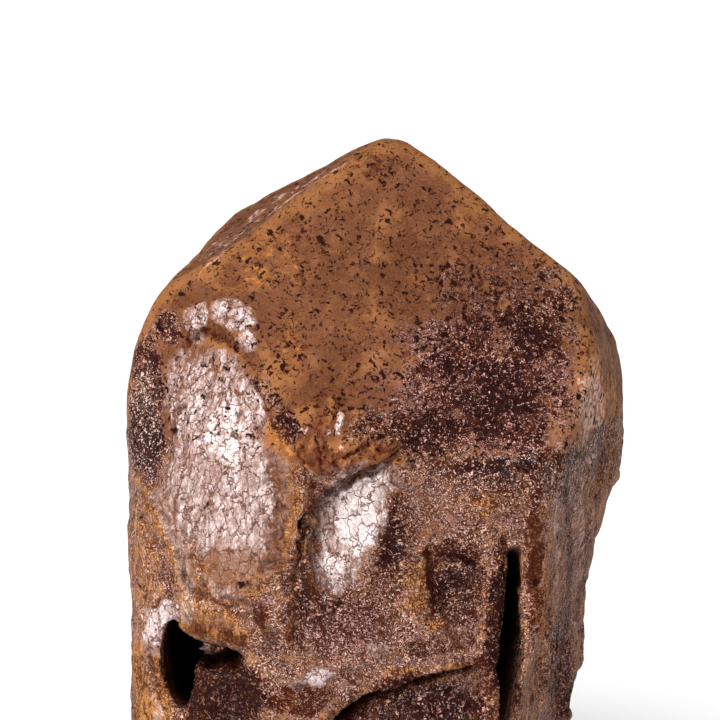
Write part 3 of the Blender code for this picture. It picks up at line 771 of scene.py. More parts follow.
# here a mark's amount is its height in millimetres
RELIEF: tuple[Mark, ...] = (
    # the broken flakes of crust that cap the left lobe
    Spot(-16.4, 4.3, 1.5, 1.7, 0.26, 0.22, -30.0),
    Spot(-12.7, 4.5, 2.6, 1.7, 0.32, 0.16, -20.0),
    Spot(-11.2, 1.7, 1.1, 1.4, 0.24, 0.25, 20.0),
    Stroke(CAP_LINE, 0.7, -0.28, 0.7),
    # the lobe's right edge, which peels over the fold
    Stroke(((-5.0, -12.5), (-5.6, -15.5), (-6.3, -18.0)), 0.45, 0.28, 0.5),
    Stroke(FOLD_LINE[3:], 0.7, 0.55, 0.6),
    # the brow's lip over the oval facet, and the hollow under it
    Stroke(BROW_LIP, 0.9, 0.55, 0.7),
    Stroke(((-4.8, -13.0), (-2.4, -13.3), (-0.5, -11.7), (1.6, -10.9), (3.8, -9.6)), 0.6, -0.40, 0.8),
    Stroke(((-5.0, -9.5), (-3.2, -6.0), (-2.6, -4.0)), 0.7, 0.40, 0.8),
    Stroke(((-3.4, -8.5), (-3.3, -11.0)), 0.3, -0.40, 0.7),
    # stained cracks in the lobe's skin
    Stroke(LOBE_CRACKS[0], 0.30, -0.22, 0.8),
    Stroke(LOBE_CRACKS[1], 0.28, -0.20, 0.8),
    Stroke(LOBE_CRACKS[2], 0.35, -0.28, 0.8),
    # its upright folds
    Stroke(((-16.4, -1.0), (-16.8, -6.0), (-16.4, -10.0)), 0.8, 0.26, 1.0),
    Stroke(((-13.6, -3.0), (-13.4, -8.0), (-13.8, -12.0)), 0.9, 0.24, 1.0),
    Stroke(((-18.6, -4.0), (-18.2, -9.0), (-17.6, -13.0)), 0.6, 0.20, 1.0),
    Stroke(((-11.4, -8.0), (-10.6, -13.0), (-10.8, -17.0)), 0.8, 0.22, 1.0),
    Stroke(((-15.2, -12.5), (-14.6, -17.0), (-13.6, -20.5)), 0.9, 0.20, 1.0),
    Stroke(((-9.4, -10.5), (-8.2, -13.0), (-8.4, -17.5)), 0.35, -0.25, 0.8),
    # the gap in the cavity's mouth, and the chip over it
    Stroke(((-16.6, -29.6), (-14.4, -30.1), (-12.2, -30.2)), 0.75, -1.30, 0.7),
    Stroke(CHIP_LINE, 0.34, 0.90, 0.5),
    # the bright flake on the brow
    Spot(-2.0, -6.4, 0.6, 1.4, 0.25, 0.5),
    # the slanting ridges at the lobe's lower left
    Stroke(((-22.0, -12.0), (-19.0, -17.0), (-16.2, -22.5)), 0.8, 0.50, 0.9),
    Stroke(((-21.0, -15.0), (-18.3, -20.0), (-17.2, -25.0)), 0.8, 0.45, 0.9),
    Stroke(((-20.6, -13.5), (-18.0, -18.7), (-16.6, -23.5)), 0.35, -0.45, 0.8),
    Stroke(((-22.0, -15.5), (-19.8, -19.5), (-19.0, -25.0)), 0.5, -0.40, 0.8),
    # the ragged lip over the cavity
    Stroke(((-18.2, -26.6), (-15.5, -27.4), (-12.0, -28.2)), 0.8, 0.35, 0.8),
    # the crack's upper lip, and upright cracks beside the cleft, in the core and left of the step
    Stroke(CRACK_LINE, 1.2, 0.30, 0.9),
    Stroke(((14.3, -18.0), (14.8, -21.0), (14.6, -28.0)), 0.35, -0.45, 0.7),
    Stroke(((7.0, -34.0), (7.2, -36.5), (7.0, -42.0)), 0.35, -0.50, 0.7),
    Stroke(((7.0, -19.3), (7.4, -24.5)), 0.5, -0.35, 0.7),
    # the soft ribs and grooves between the oval facet and the cleft, and over the lower edge
    Stroke(((3.6, -10.5), (3.4, -15.5), (4.2, -20.0), (5.6, -24.0), (7.0, -28.0)), 1.5, 0.40, 1.0),
    Stroke(((2.2, -13.0), (2.4, -18.0), (3.0, -22.0)), 0.9, -0.35, 1.0),
    Stroke(((12.5, -12.0), (13.0, -18.0), (12.6, -24.0), (12.0, -29.0)), 1.1, 0.35, 1.0),
    Stroke(((16.6, -12.0), (18.0, -18.0), (18.4, -26.0), (18.2, -35.0)), 1.0, 0.40, 1.0),
    Stroke(((13.4, -29.0), (13.2, -36.0)), 0.9, 0.40, 1.0),
    Stroke(((-8.5, -22.0), (-8.0, -27.0), (-6.0, -31.0)), 1.3, 0.35, 1.0),
    Stroke(((-6.0, -31.5), (-1.0, -30.0), (4.0, -28.2), (8.0, -26.5)), 1.4, 0.35, 1.0),
    # the ragged rims of the cleft, and the pale tooth right of it
    Spot(15.2, -16.8, 0.7, 0.9, 0.40, 0.9),
    Spot(13.4, -21.0, 0.6, 1.2, 0.40, 0.9),
    Spot(16.0, -23.0, 0.6, 1.3, 0.40, 0.9),
    Spot(13.0, -27.0, 0.6, 1.1, 0.40, 0.9),
    Spot(15.8, -28.5, 0.6, 1.0, 0.45, 0.9),
    Spot(18.5, -29.5, 0.9, 4.4, 0.30, 0.5, -4.0),
    Spot(18.8, -25.4, 0.8, 0.8, -0.30, 0.8),
    Stroke(((20.2, -28.5), (20.0, -36.0)), 0.9, -0.40, 0.8),
    # the crack in the brow
    Stroke(BROW_CRACK, 0.30, -0.25, 0.7),
    # pits
    Spot(-12.6, -7.4, 0.5, 0.9, -0.35, 0.7),
    Spot(-17.8, -4.6, 1.0, 0.45, -0.30, 0.7, 15.0),
    Spot(-9.1, -12.0, 0.5, 0.4, -0.35, 0.7),
    Spot(-7.6, 5.8, 0.30, 0.70, -0.40, 0.7, -15.0),
    Spot(7.3, 5.7, 0.35, 0.35, -0.30, 0.7),
    Spot(15.0, 5.0, 0.45, 0.60, -0.40, 0.7),
    Spot(13.9, 5.9, 0.60, 0.30, -0.30, 0.7),
    Spot(21.1, 6.8, 0.40, 0.60, -0.40, 0.7),
    Spot(2.2, 2.8, 0.35, 0.35, -0.30, 0.7),
    Spot(4.6, 0.5, 0.40, 0.45, -0.35, 0.7),
    Spot(9.1, -4.9, 0.40, 1.20, -0.45, 0.7, 10.0),
    Spot(7.6, -5.2, 0.50, 0.50, -0.30, 0.7),
    Spot(1.2, -12.3, 0.80, 0.24, -0.55, 0.7),
    Spot(-10.1, -6.8, 0.30, 0.60, -0.30, 0.7, 20.0),
    Spot(-10.8, -9.5, 0.30, 0.30, -0.30, 0.7),
)


# ---- The crystal ----
@dataclass
class Crystal:
    """The crystal's visible piece: its mesh, what is laid on it, and its finish.

    Sizes are in millimetres.  A range has the value where an effect begins and the one where it is full.
    """

    block: Block = Block()
    front: FrontView = FrontView()
    name: str = "barite_skin"
    triangles: int = 190000
    smooth_rounds: int = 4
    wear_rounds: int = 60
    # the wavering of the rims, which leaves the foot steady, and the unevenness of the faces
    rim_ripples: tuple[Ripple, ...] = (Ripple(3.6, 0.60, 200.0), Ripple(1.2, 0.30, 209.0))
    axis_shift: float = 40.0
    rim_heights: Pair = (0.0, 3.0)
    unevenness: tuple[Ripple, ...] = (Ripple(8.5, 0.45), Ripple(3.0, 0.16))
    # the prism's upright flutes, shallower where the skin slopes, near the roof and on the front
    flutes: Ripple = Ripple(1.9, 2.0)
    flute_stretch: float = 9.0
    flute_depth: float = 0.42
    flute_top: float = 48.0
    flute_fade: float = 6.25
    slope_loss: float = 2.5
    front_loss: float = 1.2
    least_flute: float = 0.15
    # the fine grain, rougher where the skin is woolly
    fine_grain: Ripple = Ripple(0.9, 1.0, 5.0)
    fine_height: float = 0.030
    wool_height: float = 0.075
    wool_top: float = 48.2
    wool_fade: float = 2.6
    wool_ripple: Ripple = Ripple(4.0, 1.6, 23.0)
    # what roughens the outlines of the marks, across and up the front view
    warps: tuple[tuple[Ripple, Ripple], ...] = (
        (Ripple(1.5, 0.45, 31.0), Ripple(1.5, 0.45, 57.0)),
        (Ripple(0.5, 0.225, 13.0), Ripple(0.5, 0.225, 71.0)),
    )
    facing_range: Pair = (0.02, 0.22)
    # the layers on the sides that the front view doesn't show, where noise lays them
    unseen: Ripple = Ripple(9.0, 1.0, 100.0)
    unseen_shift: float = 17.0
    unseen_range: Pair = (-0.15, 0.75)
    unseen_amount: float = 0.7
    # the depths, painted as shade that turns black deep in, the creases and ridges, and the ribs of the
    # prism's sides and back
    deep_range: Pair = (1.2, 5.0)
    bulge_rounds: int = 12
    bulge_range: Pair = (0.02, 0.14)
    rib_slopes: Pair = (0.45, 0.15)
    rib_heights: Pair = (44.0, 34.0)
    rib_turns: Pair = (-0.97, -0.80)

    def build(self) -> bpy.types.Object:
        """Makes the crystal's mesh and puts it where the solid stands.

        Returns:
            The crystal's object.
        """
        mesh = self.block.carved()
        mesh.name = self.name
        points = self.positions(mesh)
        self.place(mesh, self.relaxed(mesh, points, self.smooth_rounds))
        self.wear(mesh, points)
        self.wander(mesh, points)
        self.move_out(mesh, self.swollen(points) + self.fluted(mesh, points) + self.uneven(points))
        shift = self.stand_on_frame(mesh)
        self.move_out(mesh, self.fine_relief(mesh))
        crystal = bpy.data.objects.new(self.name, mesh)
        bpy.context.scene.collection.objects.link(crystal)
        self.cut_foot(crystal)
        self.thin_out(crystal)
        self.lay_marks(crystal.data, shift)
        crystal.data.shade_smooth()
        return crystal

    def read(self, mesh: bpy.types.Mesh, name: str) -> Array:
        """Reads a vector of each of the mesh's points.

        Args:
            mesh: the skin's mesh.
            name: what is read, such as "co".

        Returns:
            One row for each point.
        """
        flat = np.empty(len(mesh.vertices) * 3)
        mesh.vertices.foreach_get(name, flat)
        return flat.reshape(-1, 3)

    def positions(self, mesh: bpy.types.Mesh) -> Array:
        """The mesh's points in millimetres."""
        return self.read(mesh, "co") / MM

    def normals(self, mesh: bpy.types.Mesh) -> Array:
        """The normals at the mesh's points."""
        return self.read(mesh, "normal")

    def place(self, mesh: bpy.types.Mesh, points: Array) -> None:
        """Moves the mesh's points to positions in millimetres."""
        mesh.vertices.foreach_set("co", (points * MM).ravel())
        mesh.update()

    def move_out(self, mesh: bpy.types.Mesh, heights: Array) -> None:
        """Moves each point along its normal by its height in millimetres."""
        self.place(mesh, self.positions(mesh) + self.normals(mesh) * heights[:, None])

    def relaxed(self, mesh: bpy.types.Mesh, points: Array, rounds: int) -> Array:
        """Moves each point to the middle of its neighbours, again and again.

        Args:
            mesh: the mesh whose edges join the points.
            points: positions, one row each.
            rounds: how many times it is done.

        Returns:
            The relaxed positions.
        """
        ends = np.empty(len(mesh.edges) * 2, dtype=np.int64)
        mesh.edges.foreach_get("vertices", ends)
        a, b = ends.reshape(-1, 2).T
        count = len(points)
        neighbours = np.maximum(np.bincount(a, minlength=count) + np.bincount(b, minlength=count), 1)
        current = points.copy()
        for _ in range(rounds):
            columns = []
            for value in current.T:
                total = np.bincount(a, weights=value[b], minlength=count)
                total += np.bincount(b, weights=value[a], minlength=count)
                columns.append(total / neighbours)
            current = np.stack(columns, axis=1)
        return current

    def share_of(self, swelling: Swelling, points: Array) -> Array:
        """How much of a swelling each point has.

        Args:
            swelling: the swelling.
            points: positions in millimetres, one row each.

        Returns:
            1 in the swelling's middle, and 0 well outside it.
        """
        middle = np.array(self.block.placed(swelling.middle)) / MM
        radii = np.array(self.block.placed(swelling.radii)) / MM
        away = (((points - middle) / radii) ** 2).sum(axis=1)
        return np.exp(-away * away)

    def wear(self, mesh: bpy.types.Mesh, points: Array) -> None:
        """Rounds the skin off where it is worn.

        Args:
            mesh: the skin's mesh.
            points: where its points were carved, in millimetres.
        """
        worn = np.max([self.share_of(place, points) for place in WORN], axis=0)[:, None]
        current = self.positions(mesh)
        self.place(mesh, current + (self.relaxed(mesh, current, self.wear_rounds) - current) * worn)

    def wander(self, mesh: bpy.types.Mesh, points: Array) -> None:
        """Moves each point a little along the skin, so that the rims of the slots and hollows waver.

        Args:
            mesh: the skin's mesh.
            points: where its points were carved, in millimetres.
        """
        normals = self.normals(mesh)
        moves = np.stack([self.waver(points, self.axis_shift * axis) for axis in range(3)], axis=1)
        moves -= normals * (moves * normals).sum(axis=1)[:, None]
        moves *= smooth_step(*self.rim_heights, points[:, 2])[:, None]
        self.place(mesh, self.positions(mesh) + moves)

    def waver(self, points: Array, shift: float) -> Array:
        """How far the rims' ripples move each point along one axis."""
        return sum(ripple.at(points, shift) for ripple in self.rim_ripples)

    def swollen(self, points: Array) -> Array:
        """How far the swellings raise each point."""
        return sum(swelling.height / MM * self.share_of(swelling, points) for swelling in SWELLINGS)

    def uneven(self, points: Array) -> Array:
        """The slow and the fine unevenness of each point."""
        return sum(ripple.at(points) for ripple in self.unevenness)

    def fluted(self, mesh: bpy.types.Mesh, points: Array) -> Array:
        """How far the prism's upright flutes sink each point.

        Args:
            mesh: the skin's mesh.
            points: where its points were carved, in millimetres.

        Returns:
            One height for each point, 0 or less.
        """
        normals = self.normals(mesh)
        upright = np.clip(1.0 - self.slope_loss * np.abs(normals[:, 2]), 0.0, 1.0)
        below = np.clip((self.flute_top - points[:, 2]) / self.flute_fade, 0.0, 1.0)
        turned = np.clip(1.0 + self.front_loss * normals[:, 1], self.least_flute, 1.0)
        runs = points / np.array((1.0, 1.0, self.flute_stretch))
        waves = np.maximum(0.0, self.flutes.at(runs))
        return -self.flute_depth * upright * below * turned * waves

    def seen(self, points: Array) -> tuple[Array, Array]:
        """Where points show in the front view, with small ripples that roughen the marks' outlines.

        Args:
            points: positions in millimetres, one row each.

        Returns:
            How far across and how far up each point shows, in millimetres.
        """
        across, up = self.front.across_and_up(points)
        for aside, upwards in self.warps:
            across = across + aside.at(points)
            up = up + upwards.at(points)
        return across, up

    def facing(self, mesh: bpy.types.Mesh) -> Array:
        """1 where the skin faces the front view, and 0 where it turns away."""
        return smooth_step(*self.facing_range, self.normals(mesh) @ np.array(self.front.backwards))

    def fine_relief(self, mesh: bpy.types.Mesh) -> Array:
        """The height of the flakes, grooves, pits and fine grain.

        Args:
            mesh: the skin's mesh, which stands where the solid does.

        Returns:
            One height for each point, in millimetres.
        """
        points = self.positions(mesh)
        across, up = self.seen(points)
        total = np.zeros(len(points))
        for mark in RELIEF:
            total += mark.cover(across, up)
        total *= self.facing(mesh)
        rough = self.fine_height + self.wool_height * self.woolly(points)
        return total + self.fine_grain.at(points) * rough

    def woolly(self, points: Array) -> Array:
        """1 on the prism, whose skin is a wool of fine threads, and 0 on the roof."""
        height = points[:, 2] + self.wool_ripple.at(points)
        return smooth_step(self.wool_top, self.wool_top - self.wool_fade, height)

    def cut_foot(self, crystal: bpy.types.Object) -> None:
        """Cuts the crystal off flat at the height of its foot.

        Args:
            crystal: the crystal's object.
        """
        bm = bmesh.new()
        bm.from_mesh(crystal.data)
        cut = bmesh.ops.bisect_plane(
            bm,
            geom=bm.verts[:] + bm.edges[:] + bm.faces[:],
            plane_co=(0.0, 0.0, 0.0),
            plane_no=(0.0, 0.0, -1.0),
            clear_outer=True,
        )
        rim = [e for e in cut["geom_cut"] if isinstance(e, bmesh.types.BMEdge)]
        bmesh.ops.holes_fill(bm, edges=rim)
        bmesh.ops.triangulate(bm, faces=bm.faces)
        bm.to_mesh(crystal.data)
        bm.free()

    def thin_out(self, crystal: bpy.types.Object) -> None:
        """Leaves fewer triangles, most of them where the skin turns.

        Args:
            crystal: the crystal's object, which gets a new mesh.
        """
        thinned = crystal.modifiers.new("thinned", "DECIMATE")
        thinned.ratio = min(1.0, self.triangles / len(crystal.data.polygons))
        graph = bpy.context.evaluated_depsgraph_get()
        mesh = bpy.data.meshes.new_from_object(crystal.evaluated_get(graph))
        crystal.modifiers.clear()
        thick = crystal.data
        crystal.data = mesh
        bpy.data.meshes.remove(thick)
        mesh.name = self.name

    def lay_marks(self, mesh: bpy.types.Mesh, shift: Array) -> None:
        """Writes the layers, the depth, the creases, the ridges, the ribs and the wool as mesh attributes.

        Args:
            mesh: the skin's mesh, which stands where the solid does.
            shift: how far it was moved to stand there, in millimetres.
        """
        points = self.positions(mesh)
        normals = self.normals(mesh)
        across, up = self.seen(points)
        facing = self.facing(mesh)
        for place, (layer, marks) in enumerate(LAYERS.items()):
            seen = np.zeros(len(points))
            for mark in marks:
                seen = np.maximum(seen, mark.cover(across, up))
            unseen = smooth_step(*self.unseen_range, self.unseen.at(points, self.unseen_shift * place))
            self.write(mesh, layer.value, seen * facing + unseen * self.unseen_amount * (1.0 - facing))
        # the depth, which the material paints as shade; the chip is cleared of it and the gap under it
        # painted black as shadow
        deep = smooth_step(*self.deep_range, self.block.depth_inside(points - shift))
        deep = np.maximum(deep * (1.0 - CHIP.cover(across, up)), GAP.cover(across, up) * facing)
        self.write(mesh, "deep", deep)
        bulge = ((points - self.relaxed(mesh, points, self.bulge_rounds)) * normals).sum(axis=1)
        self.write(mesh, "crease", smooth_step(*self.bulge_range, -bulge))
        self.write(mesh, "ridge", smooth_step(*self.bulge_range, bulge))
        upright = smooth_step(*self.rib_slopes, np.abs(normals[:, 2]))
        below = smooth_step(*self.rib_heights, points[:, 2])
        self.write(mesh, "ribs", upright * below * smooth_step(*self.rib_turns, normals[:, 1]))
        self.write(mesh, "wool", self.woolly(points))

    def write(self, mesh: bpy.types.Mesh, name: str, values: Array) -> None:
        """Stores one value for each point as an attribute."""
        attribute = mesh.attributes.new(name, "FLOAT", "POINT")
        attribute.data.foreach_set("value", np.clip(values, 0.0, 1.0).astype(np.float32))

    def stand_on_frame(self, mesh: bpy.types.Mesh) -> Array:
        """Puts the middle of the skin over the middle of its solid.

        Args:
            mesh: the skin's mesh.

        Returns:
            How far it was moved, in millimetres.
        """
        low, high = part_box(NODE)
        points = self.positions(mesh)
        middle = (points.min(axis=0) + points.max(axis=0)) / 2
        target = np.array((low + high) / 2) / MM
        shift = np.array((target[0] - middle[0], target[1] - middle[1], 0.0))
        self.place(mesh, points + shift)
        return shift


# ---- Shader maths ----
class Value:
    """A socket in a shader sheet, with arithmetic that adds the Math nodes for it."""

    def __init__(self, sheet: "Sheet", socket: bpy.types.NodeSocket) -> None:
        """Wraps a socket of a sheet."""
        self.sheet = sheet
        self.socket = socket

    def math(self, operation: str, *others: "Value | float") -> "Value":
        """The Math node of that operation on this value and the others."""
        links = dict(enumerate((self, *others)))
        return self.sheet.node("ShaderNodeMath", {"operation": operation}, links).out("Value")

    def flipped(self, operation: str, other: "Value | float") -> "Value":
        """The Math node of that operation on the other value and then this one."""
        links = {0: other, 1: self}
        return self.sheet.node("ShaderNodeMath", {"operation": operation}, links).out("Value")

    def __add__(self, other: "Value | float") -> "Value":
        """This value plus another."""
        return self.math("ADD", other)

    def __radd__(self, other: float) -> "Value":
        """A number plus this value."""
        return self.flipped("ADD", other)

    def __sub__(self, other: "Value | float") -> "Value":
        """This value less another."""
        return self.math("SUBTRACT", other)

    def __rsub__(self, other: float) -> "Value":
        """A number less this value."""
        return self.flipped("SUBTRACT", other)

    def __mul__(self, other: "Value | float") -> "Value":
        """This value times another."""
        return self.math("MULTIPLY", other)

    def __rmul__(self, other: float) -> "Value":
        """A number times this value."""
        return self.flipped("MULTIPLY", other)

    def __abs__(self) -> "Value":
        """This value without its sign."""
        return self.math("ABSOLUTE")

    def __or__(self, other: "Value | float") -> "Value":
        """The larger of this value and another."""
        return self.math("MAXIMUM", other)

    def __and__(self, other: "Value | float") -> "Value":
        """The smaller of this value and another."""
        return self.math("MINIMUM", other)

    def step(self, low: "Value | float", high: "Value | float") -> "Value":
        """A smooth rise from 0 at low to 1 at high, or a fall where low is above high.

        Args:
            low: the value that gives 0.
            high: the value that gives 1.

        Returns:
            A value from 0 to 1.
        """
        settings = {"interpolation_type": "SMOOTHSTEP", "clamp": True}
        links = {"Value": self, "From Min": low, "From Max": high, "To Min": 0.0, "To Max": 1.0}
        return self.sheet.node("ShaderNodeMapRange", settings, links).out("Result")


@dataclass
class Made:
    """A node that a sheet has made."""

    sheet: "Sheet"
    node: bpy.types.ShaderNode

    def out(self, name: str | int) -> Value:
        """One of the node's outputs."""
        return Value(self.sheet, self.node.outputs[name])


@dataclass(frozen=True)
class Lumps:
    """A noise in the stone: how many lumps lie in a millimetre, and the shift that sets it apart from others.

    Its octaves are the finer lumps on the large ones, rough is their strength, and pull bends them all about.
    """

    scale: float
    octaves: float
    pull: float
    shift: float
    rough: float = 0.5


class Sheet:
    """A material's shader nodes, in millimetres of the stone."""

    def __init__(self, name: str) -> None:
        """Starts a material with nothing but its output and one Principled shader.

        Args:
            name: the material's name.
        """
        self.material = bpy.data.materials.new(name)
        self.material.use_nodes = True
        self.tree = self.material.node_tree
        self.shader = self.tree.nodes["Principled BSDF"]
        place = self.node("ShaderNodeTexCoord", {}, {}).out("Object")
        self.place = self.scaled(place, 1.0 / MM)

    def node(self, kind: str, settings: dict[str, object], links: dict[str | int, object]) -> Made:
        """Adds a node.

        Args:
            kind: the node's type.
            settings: its properties, set first.
            links: for each of its inputs, a number, a colour, a vector or the value to link.

        Returns:
            The node, whose outputs can be asked for.
        """
        made = self.tree.nodes.new(kind)
        for name, setting in settings.items():
            setattr(made, name, setting)
        for name, link in links.items():
            self.feed(made.inputs[name], link)
        return Made(self, made)

    def feed(self, socket: bpy.types.NodeSocket, link: object) -> None:
        """Links a value to a socket, or sets what the socket itself holds.

        Args:
            socket: the input that is fed.
            link: the value to link, or a number, a colour or a vector.
        """
        if isinstance(link, Value):
            self.tree.links.new(link.socket, socket)
        elif socket.type == "RGBA" and len(link) == 3:
            socket.default_value = (*link, 1.0)
        else:
            socket.default_value = link

    def vector(self, operation: str, *vectors: Value | Triple) -> Value:
        """The vector that a Vector Math node makes of one vector or two."""
        links = dict(enumerate(vectors))
        return self.node("ShaderNodeVectorMath", {"operation": operation}, links).out("Vector")

    def measure(self, operation: str, *vectors: Value | Triple) -> Value:
        """The number that a Vector Math node makes of one vector or two."""
        links = dict(enumerate(vectors))
        return self.node("ShaderNodeVectorMath", {"operation": operation}, links).out("Value")

    def scaled(self, vector: Value, factor: float | Triple) -> Value:
        """A vector times a factor, or times a factor for each axis."""
        factors = factor if isinstance(factor, tuple) else (factor,) * 3
        return self.vector("MULTIPLY", vector, factors)

    def layer(self, name: str) -> Value:
        """A mesh attribute's value."""
        settings = {"attribute_type": "GEOMETRY", "attribute_name": name}
        return self.node("ShaderNodeAttribute", settings, {}).out("Fac")

    def noise(self, kind: Lumps, at: Value | None = None) -> Made:
        """Adds a noise.

        Args:
            kind: what it is like.
            at: where it is read, or None for the stone's own place.

        Returns:
            Its node, which has a value about 0.5 and a colour.
        """
        shift = tuple(kind.shift * axis for axis in SHIFT_DIRECTION)
        links = {
            "Vector": self.vector("ADD", at or self.place, shift),
            "Scale": kind.scale,
            "Detail": kind.octaves,
            "Roughness": kind.rough,
            "Distortion": kind.pull,
        }
        return self.node("ShaderNodeTexNoise", {}, links)

    def lumps(self, kind: Lumps, at: Value | None = None) -> Value:
        """A noise's value, which is about 0.5."""
        return self.noise(kind, at).out("Fac")

    def cells(self, scale: float, at: Value) -> Made:
        """A Voronoi node whose cells have a middle and a random colour each."""
        return self.node("ShaderNodeTexVoronoi", {"feature": "F1"}, {"Vector": at, "Scale": scale})

    def cell_edges(self, scale: float, at: Value) -> Value:
        """How far a place lies from the edges of such cells."""
        links = {"Vector": at, "Scale": scale}
        return self.node("ShaderNodeTexVoronoi", {"feature": "DISTANCE_TO_EDGE"}, links).out("Distance")

    def parts(self, colour: Value) -> Made:
        """A node that takes a colour apart."""
        return self.node("ShaderNodeSeparateColor", {}, {"Color": colour})

    def mix(self, share: Value | float, first: object, second: object) -> Value:
        """The second colour over the first, by a share."""
        made = self.node("ShaderNodeMix", {"data_type": "RGBA"}, {0: share, 6: first, 7: second})
        return made.out(2)

    def times(self, colour: Value, tint: Value | Colour, share: Value | float = 1.0) -> Value:
        """A colour multiplied by another, by a share."""
        settings = {"data_type": "RGBA", "blend_type": "MULTIPLY"}
        return self.node("ShaderNodeMix", settings, {0: share, 6: colour, 7: tint}).out(2)


# ---- The stone's finish ----
@dataclass(frozen=True)
class Covers:
    """How much of each stone, painted highlight and painted shade shows (0 to 1), and the noise that frays
    outlines.
    """

    ragged: Value
    gloss: Value
    rust: Value
    tan: Value
    pale: Value
    plum: Value
    dark: Value
    wool: Value
    deep: Value
    crease: Value
    ridge: Value
    ribs: Value


@dataclass(frozen=True)
class Skin:
    """The crackle of the glossy skin: its cracks, its streaks, and the tilts and tones of its flakes."""

    cracks: Value
    streaks: Value
    flakes: Value
    tone: Value


@dataclass(frozen=True)
class Threads:
    """The fine lines: dark specks, their red stain, dark and light threads, and how crowded those are."""

    specks: Value
    stain: Value
    dark: Value
    light: Value
    crowded: Value


@dataclass(frozen=True)
class Tick:
    """A kind of short dark stroke: how many cells lie in a millimetre, and its half width in millimetres."""

    scale: float
    radius: float


@dataclass(frozen=True)
class Fray:
    """How a layer's outline frays: by the slow noise and the quick one, and how soft it stays."""

    slow: float
    quick: float
    soft: float = 0.20


FRAYS: dict[Layer, Fray] = {
    Layer.GLOSS: Fray(1.3, 1.6, 0.45),
    Layer.RUST: Fray(1.2, 1.4),
    Layer.TAN: Fray(2.4, 1.0),
    Layer.PALE_AND_HIGHLIGHT: Fray(1.2, 1.4),
    Layer.PLUM: Fray(2.0, 1.6, 0.45),
    Layer.DARK: Fray(1.2, 2.4, 0.35),
}


@dataclass(frozen=True)
class Tints:
    """The stone's colours."""

    honey_dark: Colour = (0.086, 0.028, 0.011)
    honey: Colour = (0.136, 0.050, 0.024)
    honey_light: Colour = (0.262, 0.100, 0.044)
    plum: Colour = (0.205, 0.077, 0.070)
    speck: Colour = (0.014, 0.003, 0.003)
    speck_red: Colour = (0.040, 0.006, 0.002)
    rust: Colour = (0.166, 0.055, 0.020)
    rust_dark: Colour = (0.062, 0.011, 0.004)
    tan: Colour = (0.275, 0.094, 0.019)
    tan_light: Colour = (0.560, 0.236, 0.070)
    pale: Colour = (0.700, 0.415, 0.350)
    # the palest of the pale marks, partly painted highlights
    white: Colour = (0.600, 0.430, 0.350)
    silver: Colour = (0.285, 0.142, 0.104)
    silver_light: Colour = (0.735, 0.550, 0.525)
    # what the dark marks multiply in: painted shade in places, and darker patches elsewhere
    shade: Colour = (0.35, 0.23, 0.215)
    crackle: Colour = (0.095, 0.030, 0.014)
    # the black of the painted shade deep in the hollows and cracks
    black: Colour = (0.004, 0.001, 0.001)


@dataclass(frozen=True)
class Noises:
    """The noises that the stone's patterns are read from."""

    waver: Lumps = Lumps(1.6, 2.0, 0.0, 0.0)
    ragged: Lumps = Lumps(0.40, 6.0, 0.8, 2.0, 0.62)
    frays: Lumps = Lumps(1.7, 4.0, 0.6, 5.0)
    clouds: Lumps = Lumps(0.16, 3.0, 0.6, 2.0)
    blotches: Lumps = Lumps(0.42, 5.0, 0.5, 6.0)
    mottle: Lumps = Lumps(1.0, 4.0, 0.4, 14.0, 0.7)
    dapple: Lumps = Lumps(1.2, 4.0, 0.5, 9.0)
    grain: Lumps = Lumps(3.8, 4.0, 0.0, 8.0, 0.6)
    glints: Lumps = Lumps(2.6, 3.0, 0.4, 60.0, 0.7)
    streaks: Lumps = Lumps(1.0, 4.0, 0.5, 4.0, 0.6)
    threads: Lumps = Lumps(1.05, 1.8, 1.6, 40.0)
    fine_threads: Lumps = Lumps(1.7, 1.8, 1.4, 44.0)


@dataclass(frozen=True)
class Edges:
    """The value at which each pattern begins to show, and the one at which it is full."""

    layers: Pair = (0.00, 0.60)
    clouds: Pair = (0.35, 0.62)
    light_blotches: Pair = (0.48, 0.70)
    plum_blotches: Pair = (0.48, 0.34)
    mottle: Pair = (0.50, 0.36)
    light_grain: Pair = (0.52, 0.68)
    light_tan: Pair = (0.45, 0.70)
    light_ribs: Pair = (0.46, 0.60)
    dark_ribs: Pair = (0.44, 0.34)
    white: Pair = (0.60, 1.00)
    pale_fibres: Pair = (-0.22, -0.04)
    bright_fibres: Pair = (0.40, 0.56)
    light_silver: Pair = (0.44, 0.78)
    worn_silver: Pair = (0.53, 0.64)
    light_rust: Pair = (0.36, 0.60)
    wide_cracks: Pair = (0.065, 0.020)
    narrow_cracks: Pair = (0.09, 0.03)
    glints: Pair = (0.62, 0.72)
    ticks: Pair = (0.00, -0.35)
    halos: Pair = (0.80, -0.20)
    crowds: Pair = (0.30, 1.15)
    threads: Pair = (0.015, -0.020)
    fine_threads: Pair = (0.020, -0.030)
    light_threads: Pair = (0.042, 0.016)
    dark_crowds: Pair = (0.00, 0.50)
    light_crowds: Pair = (0.00, 0.40)
    black_threads: Pair = (0.50, 0.90)
    deep_red_shade: Pair = (0.00, 0.60)
    deep_black: Pair = (0.45, 1.00)


